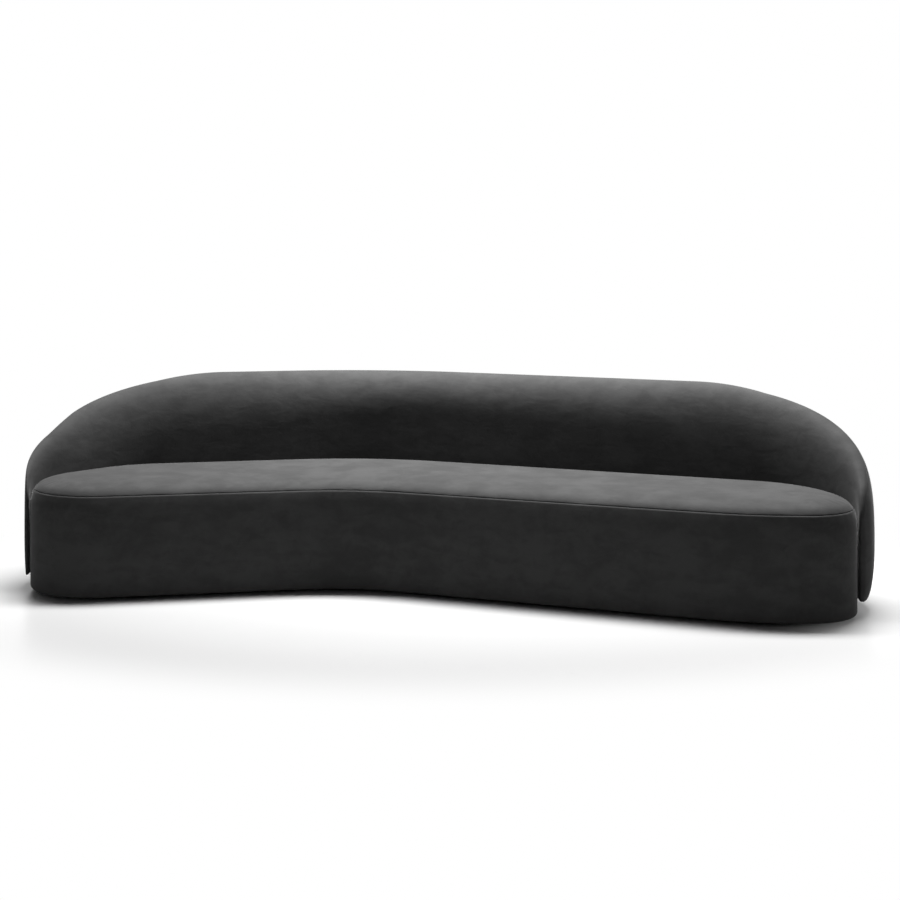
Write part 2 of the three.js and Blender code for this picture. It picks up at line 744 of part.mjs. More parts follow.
// Rows inside the covers at one distance along the path, one for each level under the crest. Each has
// its height, the reach of both covers' backs, and the reach of both pads' backs. Near the ridges the
// pads meet and leave no space for the frame.
function shellRows(distance) {
  const loop = shellInside(distance, coverThickness + fitGap);
  const crest = levelShares.length - 1;
  const innerLine = loop.slice(0, crest + 1);
  const outerLine = loop.slice(crest).toReversed();
  const low = Math.max(innerLine[0].y, outerLine[0].y);
  const high = loop[crest].y;
  const framed = distance >= frameEnds[0] && distance <= frameEnds[1];
  const rowAt = (height, share) => {
    const inner = reachAt(innerLine, height);
    const outer = reachAt(outerLine, height);
    const room = outer - inner - fitGap;
    const wall = share === 0 ? innerLine[1].x : inner;
    const innerBack = framed ? wall + innerPad : inner + room * innerPadShare;
    const outerBack = outer - (framed ? outerPad : room * (1 - innerPadShare));
    return { height, inner, outer, innerBack, outerBack };
  };
  const heightOf = (share) => low + (high - low) * share;
  const rows = levelShares.slice(0, crest).map((share) => rowAt(heightOf(share), share));
  const capRow = rowAt(heightOf(levelShares[padTopLevel]) + twistGap, levelShares[padTopLevel]);
  const cap = [capRow, ...rows.slice(padTopLevel + 1)];
  return { pads: rows.slice(0, padTopLevel + 1), cap, crest: loop[crest] };
}

const padDistances = distances.filter((distance) => nearRidge(distance).toRidge >= ridgeThickness);
const frameDistances = distances.filter((distance) => distance >= frameEnds[0] && distance <= frameEnds[1]);

// Section of one shell piece in space. The shape gives its front and back lines from the rows there.
function shellLines(distance, shape) {
  const station = pathStation(distance);
  const { front, back } = shape(shellRows(distance));
  const place = (point) => shellPoint(station, point);
  return { front: front.map(place), back: back.map(place) };
}

const shellLayer = (along, shape) => loft(along.map((distance) => shellLines(distance, shape)), false);
const lineOf = (rows, reach) => rows.map((row) => ringAt(reach(row), row.height));

function addShellPads() {
  const innerPadOf = ({ pads }) => ({
    front: lineOf(pads, ({ inner }) => inner),
    back: lineOf(pads, ({ innerBack }) => innerBack),
  });
  const outerPadOf = ({ pads }) => ({
    front: lineOf(pads, ({ outer }) => outer),
    back: lineOf(pads, ({ outerBack }) => outerBack),
  });
  const crestOf = ({ cap, crest }) => ({
    front: [...lineOf(cap, ({ inner }) => inner), crest],
    back: [...lineOf(cap, ({ outer }) => outer), crest],
  });
  addPiece('back_inner_foam', cut(shellLayer(padDistances, innerPadOf), boltHoles), 'foam');
  addPiece('back_outer_wadding', shellLayer(padDistances, outerPadOf), 'wadding');
  addPiece('back_crest_foam', shellLayer(padDistances, crestOf), 'foam');
}

// Faces of the frame space between the two bent panels.
const innerPanelFace = ({ innerBack }) => innerBack + fitGap;
const innerPanelRear = (row) => innerPanelFace(row) + innerPanel;
const outerPanelFace = ({ outerBack }) => outerBack - fitGap;
const outerPanelRear = (row) => outerPanelFace(row) - outerPanel;
const spaceFront = (row) => innerPanelRear(row) + fitGap;
const spaceBack = (row) => outerPanelRear(row) - fitGap;

// Row part of the way from one row to the next one up.
function rowBetween(low, high, height) {
  const share = (height - low.height) / (high.height - low.height);
  const row = { height };
  ['innerBack', 'outerBack'].forEach((face) => {
    row[face] = low[face] + (high[face] - low[face]) * share;
  });
  return row;
}

// Rows of the shell's frame: the foot rail fills the lowest level, the top rail lies under the cap,
// and the ribs stand between them.
function frameRows(pads) {
  const [highest, below] = [pads.at(-1), pads.at(-2)];
  const railFoot = rowBetween(below, highest, highest.height - shellRailThickness);
  const ribTop = rowBetween(below, highest, railFoot.height - twistGap);
  const ribFoot = rowBetween(pads[1], pads[2], pads[1].height + fitGap);
  const ribs = [ribFoot, ...pads.slice(2, -1), ribTop];
  return { foot: pads.slice(0, 2), ribs, top: [railFoot, highest] };
}

function addShellFrame() {
  const panelOf = (face, rear) => ({ pads }) => ({ front: lineOf(pads, face), back: lineOf(pads, rear) });
  const railOf = (pick) => ({ pads }) => {
    const rows = pick(frameRows(pads));
    return { front: lineOf(rows, spaceFront), back: lineOf(rows, spaceBack) };
  };
  const innerSkin = shellLayer(frameDistances, panelOf(innerPanelFace, innerPanelRear));
  const outerSkin = shellLayer(frameDistances, panelOf(outerPanelFace, outerPanelRear));
  addPiece('back_inner_panel', cut(innerSkin, boltHoles), 'plywood');
  addPiece('back_outer_panel', outerSkin, 'plywood');
  addPiece('shell_foot_rail', shellLayer(frameDistances, railOf(({ foot }) => foot)), 'plywood');
  addPiece('shell_top_rail', shellLayer(frameDistances, railOf(({ top }) => top)), 'plywood');
}

// The two stations on either side of each back rib, which stands in the middle between them.
function ribStretches() {
  const framed = frameDistances.at(-1) - frameDistances[0];
  return backRibShares.map((share) => {
    const at = frameDistances[0] + framed * share;
    const after = frameDistances.findIndex((distance) => distance > at);
    return [frameDistances[after - 1], frameDistances[after]];
  });
}

function addBackRibs() {
  const ribOf = ({ pads }) => {
    const rows = frameRows(pads).ribs;
    return { front: lineOf(rows, spaceFront), back: lineOf(rows, (row) => spaceBack(row) - ribSlack) };
  };
  ribStretches().forEach(([from, to], i) => {
    const [here, there] = [shellLines(from, ribOf), shellLines(to, ribOf)];
    const mix = (share) => {
      const between = (a, b) => a.map((value, axis) => value + (b[axis] - value) * share);
      return {
        front: here.front.map((point, k) => between(point, there.front[k])),
        back: here.back.map((point, k) => between(point, there.back[k])),
      };
    };
    const halfShare = backRibThickness / 2 / (to - from);
    const rib = loft([mix(1 / 2 - halfShare), mix(1 / 2 + halfShare)], false);
    addPiece(`back_rib_${i + 1}`, cut(rib, boltHoles), 'plywood');
  });
}

// Bolts that hold the shell to the seat's back apron, each square to the flat between two stations.
// A lathed profile is laid along the bolt, from inside the apron outwards.
function alongBolt(geometry, [from, to]) {
  const [a, b] = [pathStation(from), pathStation(to)];
  const chord = new THREE.Vector3(b.x - a.x, b.y - a.y, 0).normalize();
  const outward = new THREE.Vector3(chord.y, -chord.x, 0);
  const turn = new THREE.Quaternion().setFromUnitVectors(boltAxis, outward);
  const turned = geometry.clone().applyQuaternion(turn);
  return turned.translate((a.x + b.x) / 2, (a.y + b.y) / 2, boltHeight);
}

const boltAxis = new THREE.Vector3(0, 1, 0);
const boltSeat = -(coverThickness + fitGap + bandFoam + fitGap + apronThickness + fitGap);
const boltTip = shellGap + coverThickness + fitGap + innerPad + fitGap + innerPanel + fitGap + boltBite;
const boltStretches = boltedRibs.map((rib) => ribStretches()[rib - 1]);

function rodGeometry(radius, low, high) {
  return welded(new THREE.LatheGeometry([
    new THREE.Vector2(0, low),
    new THREE.Vector2(radius, low),
    new THREE.Vector2(radius, high),
    new THREE.Vector2(0, high),
  ], boltSides));
}

const boltHoles = boltStretches.map((stretch) => (
  alongBolt(rodGeometry(boltRadius + holeSlack, boltSeat - holeSlack, boltTip + holeSlack), stretch)
));
const boltHeadSpaces = boltStretches.map((stretch) => {
  const high = boltSeat + apronThickness;
  const low = boltSeat - boltHeadThickness - holeSlack;
  return alongBolt(rodGeometry(boltHeadRadius + holeSlack, low, high), stretch);
});

function addBolts() {
  const profile = [
    new THREE.Vector2(0, boltSeat - boltHeadThickness),
    new THREE.Vector2(boltHeadRadius, boltSeat - boltHeadThickness),
    new THREE.Vector2(boltHeadRadius, boltSeat),
    new THREE.Vector2(boltRadius, boltSeat),
    new THREE.Vector2(boltRadius, boltTip),
    new THREE.Vector2(0, boltTip),
  ];
  const bolt = welded(new THREE.LatheGeometry(profile, boltSides));
  boltStretches.forEach((stretch, i) => addPiece(`shell_bolt_${i + 1}`, alongBolt(bolt, stretch), 'steel'));
}

addSeatFrame();
addCrossPieces();
addSeatFoam();
addSeatCovers();
addUnderside();
addShellFrame();
addBackRibs();
addShellPads();
addShellCovers();
addBolts();

const box = new THREE.Box3().setFromObject(sofa);
const middle = box.getCenter(new THREE.Vector3());
sofa.position.set(-middle.x, -middle.y, -box.min.z);
sofa.updateMatrixWorld(true);

export default sofa;
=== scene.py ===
"""Curved sofa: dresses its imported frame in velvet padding, straps, dust cloth and feet, and lights it."""
import json
import math

import bmesh
import bpy
import numpy as np
from bpy.props import FloatProperty, FloatVectorProperty, IntProperty, PointerProperty
from bpy.types import Operator, Panel, PropertyGroup
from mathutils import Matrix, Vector
from mathutils.geometry import delaunay_2d_cdt


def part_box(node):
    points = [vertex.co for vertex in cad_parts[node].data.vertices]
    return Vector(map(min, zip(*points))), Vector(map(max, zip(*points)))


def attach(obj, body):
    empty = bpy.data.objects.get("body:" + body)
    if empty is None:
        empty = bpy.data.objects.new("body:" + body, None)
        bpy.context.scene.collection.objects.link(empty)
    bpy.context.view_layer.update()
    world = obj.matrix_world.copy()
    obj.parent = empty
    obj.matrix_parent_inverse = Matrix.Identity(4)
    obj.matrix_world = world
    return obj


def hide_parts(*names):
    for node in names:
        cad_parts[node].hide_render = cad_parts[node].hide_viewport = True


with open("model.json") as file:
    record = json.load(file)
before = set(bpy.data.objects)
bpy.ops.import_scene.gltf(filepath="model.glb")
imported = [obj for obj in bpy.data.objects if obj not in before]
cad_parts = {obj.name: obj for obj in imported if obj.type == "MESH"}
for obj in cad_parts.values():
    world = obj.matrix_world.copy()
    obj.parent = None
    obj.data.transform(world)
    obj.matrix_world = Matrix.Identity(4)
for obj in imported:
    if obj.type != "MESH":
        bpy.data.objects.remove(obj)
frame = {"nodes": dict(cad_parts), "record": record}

bl_info = {
    "name": "Curved sofa",
    "version": (1, 0, 0),
    "blender": (4, 5, 0),
    "location": "3D View > Sidebar > Sofa",
    "description": "Dresses the frame of a curved sofa in velvet padding and sets a studio stage",
    "category": "Object",
}

BODY = "root"
MM = 0.001
TINY = 1e-9  # keeps a division from failing where a length is zero
SAME_PLACE = 1e-7  # points this close are one, where an outline is filled
WELD = 0.02 * MM  # points this close are joined, where a pad or strap is closed
SLIVER = 0.005 * MM
FILL_MARGIN_SHARE = 0.6  # of a fill's step, which it keeps from its outline
WAVE_LENGTH = math.pi / 10  # of the wave texture at scale 1

# Corners of the plan, by their places in its list
RIGHT_TIP = 1
RIGHT_BACK = 2
LEFT_BACK = 4
LEFT_TIP = 5

# Rows beside a seam, in roll radii, and the shape of the edge that rolls into it
SEAM_ROWS = (0, 0.12, 0.32, 0.65, 1.1, 1.8, 2.9, 4.4)
SEAM_POWER = 2.4

# Random puckers: how far they stray and how wide they are, as shares of their spacing, and how deep
PUCKER_STRAY_SHARE = 0.4
PUCKER_DEPTH_SHARES = (0.15, 1)
PUCKER_DEPTH_POWER = 1.4
PUCKER_WIDTH_SHARES = (0.1, 0.32)
PUCKER_FADE_POWER = 1.5

# Rows that nobody sees, which hold the seat block's foam and turned edges in shape
FOAM_EDGE_ROW = 6 * MM
FOAM_SIDE_ROW = 30 * MM
FOAM_RIM_ROW = 40 * MM
HEM_ZONE = 30 * MM  # above the hem's start, where rows lie close together
HEM_ROW = 12 * MM
BAND_TOP_ROW = 20 * MM
BAND_CLEARANCE = 0.5 * MM  # between the band's foam and the seat foam's underside
SEAM_CLEARANCE = 0.2 * MM
SEAM_FOLD_SKINS = 2.5  # how far below the seam the band's inner edge lies, in skins

# Where the padding may swell: it is held up to a distance and free after a further run
WEIGHT_STEPS = 20  # steps from free to held
CUSHION_HOLD = 6 * MM
CUSHION_EASE = 45 * MM
BAND_HOLD = 8 * MM
BAND_HEM_HOLD = 20 * MM
BAND_EASE = 60 * MM
BAND_SWELL_SHARE = 0.5
RIDGE_HOLD = 20 * MM
RIDGE_EASE = 120 * MM
BACK_HOLD_HEIGHT = 430 * MM
BACK_EASE_HEIGHT = 60 * MM
INNER_EASE_ROWS = 12
OUTER_EASE_ROWS = 10
FOOT_HOLD_ROWS = 8
OUTER_SWELL_SHARE = 0.7

# The back's padding
RIDGE_TIP = 0.04  # share of a ridge's thickness that is left at its very end
INNER_PAD_SHARE = 0.56
OUTER_PAD_SHARE = 0.38
BEHIND_TOP_SHARE = 0.86  # of the height, where the inner pad's hidden side starts
BEHIND_BASE_SHARE = 0.02
BEHIND_SEAM_SHARE = 0.96  # of the turn from the bulge to the seam, where the outer pad's hidden side starts
BEHIND_FOOT_SHARE = 0.92
PAD_EASE_START = 60 * MM
PAD_EASE = 50 * MM

# Webbing, its staples and the dust cloth
FLAP_LEVEL = 1.55  # of a folded end's middle, in thicknesses above the strap's underside
STRAP_SIDE = 2 * MM  # corners this close to a strap's side are taken to lie on it
STAPLE_SPREAD_SHARE = 0.4
STAPLE_ROW_SHARE = 0.9
STAPLE_FOLD_SHARE = 0.45
STAPLE_STAGGER = 3 * MM
STAPLE_SINK_SHARE = 0.2
FOLD_BEND = 0.3 * MM
FOLD_END = 1.2 * MM
HEM_STEP = 1.5 * MM
BOARD_CLEARANCE = 0.05 * MM


def linear(code):
    """Linear RGBA of an sRGB hex colour."""
    channels = [int(code[at:at + 2], 16) / 255 for at in (1, 3, 5)]
    return (*[c / 12.92 if c <= 0.04045 else ((c + 0.055) / 1.055) ** 2.4 for c in channels], 1.0)


def length(name, description, millimetres):
    """Length property with its default given in millimetres."""
    return FloatProperty(name=name, description=description, default=millimetres * MM, unit="LENGTH")


def angle(name, description, degrees):
    """Angle property with its default given in degrees."""
    return FloatProperty(name=name, description=description, default=math.radians(degrees), subtype="ANGLE")


def share(name, description, value):
    """Property for a part of a whole, from 0 to 1."""
    return FloatProperty(name=name, description=description, default=value, min=0, max=1, subtype="FACTOR")


def number(name, description, value):
    """Property for a plain number."""
    return FloatProperty(name=name, description=description, default=value)


def watts(name, description, value):
    """Power property of a lamp."""
    return FloatProperty(name=name, description=description, default=value, unit="POWER")


def location(name, description, *metres):
    """Property for a place on the stage, in metres."""
    return FloatVectorProperty(
        name=name, description=description, default=metres, size=3, subtype="TRANSLATION")


def colour(name, description, code):
    """Colour property with its default given as an sRGB hex code."""
    return FloatVectorProperty(
        name=name, description=description, default=linear(code), size=4, subtype="COLOR")


class PlanSettings(PropertyGroup):
    """Plan of the seat at its widest. Along follows an arm's front line, and across goes to its back."""
    right_sweep: angle("Right sweep", "How far the long arm turns forward", 22)
    left_sweep: angle("Left sweep", "How far the short arm turns forward", 11)
    front_bend_radius: length("Front bend radius", "Rounding of the front at the bend", 700)
    right_front_along: length("Right front along", "Where the long arm's front starts to round", 1500)
    right_front_radius: length("Right front radius", "Rounding of the long arm's front", 800)
    right_tip_run: length("Right tip run", "How far beyond that corner the long arm's end corner lies", 375)
    right_tip_across: length("Right tip across", "How far back the long arm's end corner lies", 125)
    right_tip_radius: length("Right tip radius", "Rounding of the long arm's end", 200)
    right_back_tuck: length("Right back tuck", "How far in from the end corner the back corner lies", 155)
    right_back_depth: length("Right back depth", "Depth of the seat at that corner", 630)
    right_end_straight: length("Right end straight", "Straight stretch at the long arm's end", 15)
    bend_back_along: length("Bend back along", "How far along the long arm's line the back bends", -215)
    bend_depth: length("Bend depth", "Depth of the seat at the bend", 670)
    bend_back_radius: length("Bend back radius", "Rounding of the back at the bend", 1060)
    left_back_along: length("Left back along", "How far out the short arm's back corner lies", 855)
    left_back_depth: length("Left back depth", "Depth of the seat at that corner", 658)
    left_back_radius: length("Left back radius", "Rounding of that corner", 460)
    left_tip_run: length("Left tip run", "How far beyond that corner the short arm's end corner lies", 795)
    left_end_straight: length("Left end straight", "Straight stretch at the short arm's end", 136)
    station_step: length("Station step", "Distance between two rows of points round the plan", 11)


class SeatSettings(PropertyGroup):
    """Heights and roundings of the seat block."""
    hem_height: length("Hem height", "Height of the block's underside above the floor", 12)
    hem_run: length("Hem run", "How far in the hem's rounding reaches", 7)
    hem_rise: length("Hem rise", "How far up the hem's rounding reaches", 10)
    hem_turn: length("Hem turn", "How far in the turned hem reaches under the block", 45)
    seat_height: length("Seat height", "Height of the seat top inside its shoulder", 412)
    shoulder_run: length("Shoulder run", "How far in the shoulder's rounding reaches", 60)
    shoulder_drop: length("Shoulder drop", "How far down the shoulder's rounding reaches", 85)
    seam_drop: length("Seam drop", "How far below the seat top the seam lies", 32)
    crown_rise: length("Crown rise", "How much the seat rises in the middle", 6)
    crown_run: length("Crown run", "How far in the crown keeps rising", 120)
    fill_inset: length("Fill inset", "Where the rows give way to an even mesh on the top", 76)
    fill_step: length("Fill step", "Distance between points of that even mesh", 15)
    base_fill_step: length("Base fill step", "Distance between points on the foam's underside", 45)
    foam_skirt: length("Foam skirt", "How far below the shoulder the seat foam reaches", 6.5)
    foam_inset: length("Foam inset", "How far inside the band the seat foam's side lies", 2.6)
    band_depth: length("Band depth", "Thickness of the padded band round the block", 17)
    row_step: length("Row step", "Distance between two rows of points up the band", 17)
    top_row_step: length("Top row step", "Distance between two rows of points over the shoulder", 13.6)


class ShellSettings(PropertyGroup):
    """Shape of the back, from its ridges at both ends to its full part behind the seat."""
    back_height: length("Back height", "Height of the crest behind the seat", 757)
    foot_height: length("Foot height", "Height of the back's underside above the floor", 50)
    gap: length("Gap", "Gap between the seat's outline and the back", 6)
    ridge_thickness: length("Ridge thickness", "Thickness of the back at its front ends", 14)
    right_ridge: angle("Right ridge", "How far round the long arm's end the back reaches", 10.5)
    left_ridge: angle("Left ridge", "How far round the short arm's end the back reaches", 10)
    right_swell_run: length("Right swell run", "Distance from the right ridge at which the back is full", 465)
    left_swell_run: length("Left swell run", "Distance from the left ridge at which the back is full", 950)
    right_swell_power: number("Right swell power", "Below 1 the back swells sooner at the right ridge", 0.7)
    left_swell_power: number("Left swell power", "Below 1 the back swells sooner at the left ridge", 1)
    right_crest_swell_run: length(
        "Right crest swell run", "Distance from the right ridge at which the crest is fully back", 650)
    right_crest_swell_power: number(
        "Right crest swell power", "Above 1 the crest swells later behind the right ridge", 1.3)
    reach: length("Reach", "How far the full back stands out from the seat's outline", 155)
    crest_reach: length("Crest reach", "How far out the full back's crest lies", 139)
    right_crest_run: length("Right crest run", "How far from the right ridge the crest gets level", 860)
    left_crest_run: length("Left crest run", "How far from the left ridge the crest gets level", 950)
    ridge_height: length("Ridge height", "Height at which the crest's curve meets a ridge", 400)
    ridge_top_radius: length("Ridge top radius", "Rounding at the top of a ridge", 60)
    ridge_foot_radius: length("Ridge foot radius", "Rounding at the foot of a ridge", 12)
    edge_run: length("Edge run", "How far out the rounding of the inner foot reaches", 8)
    foot_tuck: length("Foot tuck", "How far in the full back's outer foot is drawn", 60)
    ridge_tuck: length("Ridge tuck", "How far in the outer foot is drawn at a ridge", 4)
    edge_share: share("Edge share", "Share of the height that the inner foot's rounding takes", 0.03)
    bulge_share: share("Bulge share", "Share of the height at which the outside is fullest", 0.4)
    lean_share: share("Lean share", "Share of the height at which the full back starts to lean", 0.76)
    ridge_lean_share: share("Ridge lean share", "The same share near the ridges", 0.5)
    tip_lean_share: share("Tip lean share", "The same share at the ridges themselves", 0.84)
    tip_lean_run: length("Tip lean run", "Distance from a ridge up to which that share counts", 650)
    lean_power: number("Lean power", "Above 2 the inside's lean starts softer", 2.3)
    crest_power: number("Crest power", "Above 2 the inside's roll is flatter at the crest", 2.4)
    wall_lean: length("Wall lean", "How far the inside's straight part leans back over the full height", 9)
    lean_run: length("Lean run", "How far from a ridge the inside leans as the full back does", 1800)
    seam_share: share("Seam share", "Where the seam behind the crest lies, from bulge to crest", 0.94)
    squareness: number("Squareness", "Fullness of the outside's curve", 2.8)
    inner_pad: length("Inner pad", "Thickness of the padding inside the back", 24)
    outer_pad: length("Outer pad", "Thickness of the padding outside the back", 14)
    right_frame_start: length("Right frame start", "How far from the right ridge the frame starts", 350)
    left_frame_start: length("Left frame start", "How far from the left ridge the frame starts", 560)
    step: length("Step", "Distance between two rows of points along the back", 12)


class SewingSettings(PropertyGroup):
    """Velvet, seams, puckers and how the padding swells."""
    skin: length("Skin", "Thickness of the velvet with its backing", 1.7)
    seam_depth: length("Seam depth", "How deep the edges turn in at a seam", 3.4)
    seam_roll: length("Seam roll", "Radius at which an edge rolls into its seam", 2.6)
    lip_height: length("Lip height", "How much the turned-in cloth lifts the edge below the seam", 0.9)
    lip_width: length("Lip width", "Width of that turned-in cloth", 11)
    pucker_depth: length("Pucker depth", "Depth of the deepest puckers above the seam", 1.5)
    pucker_reach: length("Pucker reach", "How far from the seam a pucker reaches", 26)
    pucker_spacing: length("Pucker spacing", "Mean distance between two puckers", 55)
    pressure: number("Pressure", "Pressure that swells the padding", 4)
    swell_cap: length("Swell cap", "Most that the padding may swell", 5)
    swell_frames: IntProperty(name="Swell frames", description="Frames that the swelling takes", default=20)
    seed: IntProperty(name="Seed", description="Seed of the puckers", default=7)


class ClothSettings(PropertyGroup):
    """Webbing under the seat foam and the dust cloth under the base."""
    strap_width: length("Strap width", "Width of the elastic webbing", 58)
    strap_thickness: length("Strap thickness", "Thickness of the elastic webbing", 1.1)
    strap_fold: length("Strap fold", "How much of each end is folded back under its staples", 28)
    staples: IntProperty(name="Staples", description="Staples at each end of a strap", default=5)
    staple_crown: length("Staple crown", "Width of a staple", 9)
    staple_wire: length("Staple wire", "Thickness of a staple's wire", 0.6)
    staple_wire_width: length("Staple wire width", "Width of a staple's flattened wire", 0.96)
    staple_bend: length("Staple bend", "Radius at which a staple's wire bends into its legs", 0.8)
    staple_leg: length("Staple leg", "How far a staple's legs are drawn below its crown", 1.6)
    dust_thickness: length("Dust cloth thickness", "Thickness of the dust cloth", 0.5)
    dust_hem: length("Dust cloth hem", "How much of the dust cloth's edge is turned in", 16)
    dust_inset: length("Dust cloth inset", "How far inside the seat's outline the dust cloth ends", 46)
    dust_pull: length("Dust cloth pull", "How far the dust cloth's edge is drawn in between two staples", 2.5)
    dust_sag: length("Dust cloth sag", "How far the dust cloth hangs down in the middle", 3.5)
    dust_sag_run: length("Dust cloth sag run", "Distance from its edge at which it hangs down fully", 300)
    tack_spacing: length("Tack spacing", "Distance between two staples in the dust cloth", 62)
    cloth_step: length("Cloth step", "Distance between two points of the dust cloth", 30)


class ColourSettings(PropertyGroup):
    """Colours of the finishes."""
    velvet: colour("Velvet", "Velvet where its pile stands up", "#3f3f3f")
    velvet_brushed: colour("Brushed velvet", "Velvet where its pile is brushed down", "#494949")
    velvet_sheen: colour("Velvet sheen", "Glow of the pile's tips", "#f2f2f2")
    foam: colour("Foam", "Upholstery foam", "#d9cfae")
    plywood: colour("Plywood", "Birch plywood", "#c9a77a")
    plywood_grain: colour("Plywood grain", "Darker grain of the plywood", "#a9814f")
    webbing: colour("Webbing", "Elastic webbing", "#3a3d42")
    webbing_stripe: colour("Webbing stripe", "Stripes woven into the webbing", "#8a3b30")
    cambric: colour("Cambric", "Dust cloth under the seat", "#17171a")
    steel: colour("Steel", "Zinc-plated steel", "#b9bcc0")
    nylon: colour("Nylon", "Moulded nylon of the feet", "#151515")
    floor: colour("Floor", "Studio floor as it is seen", "#cecece")
    floor_bounce: colour("Floor bounce", "Studio floor as it lights the sofa", "#949494")


class StageSettings(PropertyGroup):
    """Camera, lamps and floor."""
    camera_right: length("Camera right", "How far right of the front's bend the camera stands", 371.9)
    camera_away: length("Camera away", "How far in front of the front's bend the camera stands", 6368)
    camera_height: length("Camera height", "Height of the lens above the floor", 1396.5)
    sensor_width: number("Sensor width", "Width of the camera's sensor in mm", 36)
    focal_length: number("Focal length", "Length of the lens in mm", 68)
    horizon_shift: number("Horizon shift", "Shift that lowers the view", -0.2575)
    top_lamp_place: location("Top lamp place", "Where the soft lamp overhead hangs", 0.45, 0.85, 4.6)
    top_lamp_target: location("Top lamp target", "What the soft lamp overhead is turned to", 0.45, 0.85, 0)
    top_lamp_width: length("Top lamp width", "Width of the soft lamp overhead", 4400)
    top_lamp_depth: length("Top lamp depth", "Depth of the soft lamp overhead", 1200)
    top_lamp_power: watts("Top lamp power", "Power of the soft lamp overhead", 248)
    top_lamp_spread: angle("Top lamp spread", "Beam of the grid in front of the soft lamp overhead", 100)
    front_lamp_place: location("Front lamp place", "Where the soft lamp in front stands", 0.2, -6.0, 2.6)
    front_lamp_target: location("Front lamp target", "What the soft lamp in front is turned to", 0, 0, 0.5)
    front_lamp_width: length("Front lamp width", "Width of the soft lamp in front", 2400)
    front_lamp_depth: length("Front lamp depth", "Height of the soft lamp in front", 1600)
    front_lamp_power: watts("Front lamp power", "Power of the soft lamp in front", 7)
    front_lamp_spread: angle("Front lamp spread", "Beam of the soft lamp in front, which has no grid", 180)
    world_level: number("World level", "Light from all round", 0.03)
    floor_radius: length("Floor radius", "Radius of the floor's flat part", 9000)
    backdrop_radius: length("Backdrop radius", "Rounding between the floor and the backdrop", 4000)
    shadow_width: length("Shadow width", "How far to the sides the floor still holds its shadow", 1800)
    shadow_depth: length("Shadow depth", "How far to the front and back it still does", 1300)
    white_start: number("White start", "Where the floor starts to turn white, in shadow lengths", 0.8)
    white_end: number("White end", "Where the floor is all white, in shadow lengths", 1.3)


class SofaSettings(PropertyGroup):
    """All settings of the sofa."""
    plan: PointerProperty(type=PlanSettings)
    seat: PointerProperty(type=SeatSettings)
    shell: PointerProperty(type=ShellSettings)
    sewing: PointerProperty(type=SewingSettings)
    cloth: PointerProperty(type=ClothSettings)
    colours: PointerProperty(type=ColourSettings)
    stage: PointerProperty(type=StageSettings)


# Plan


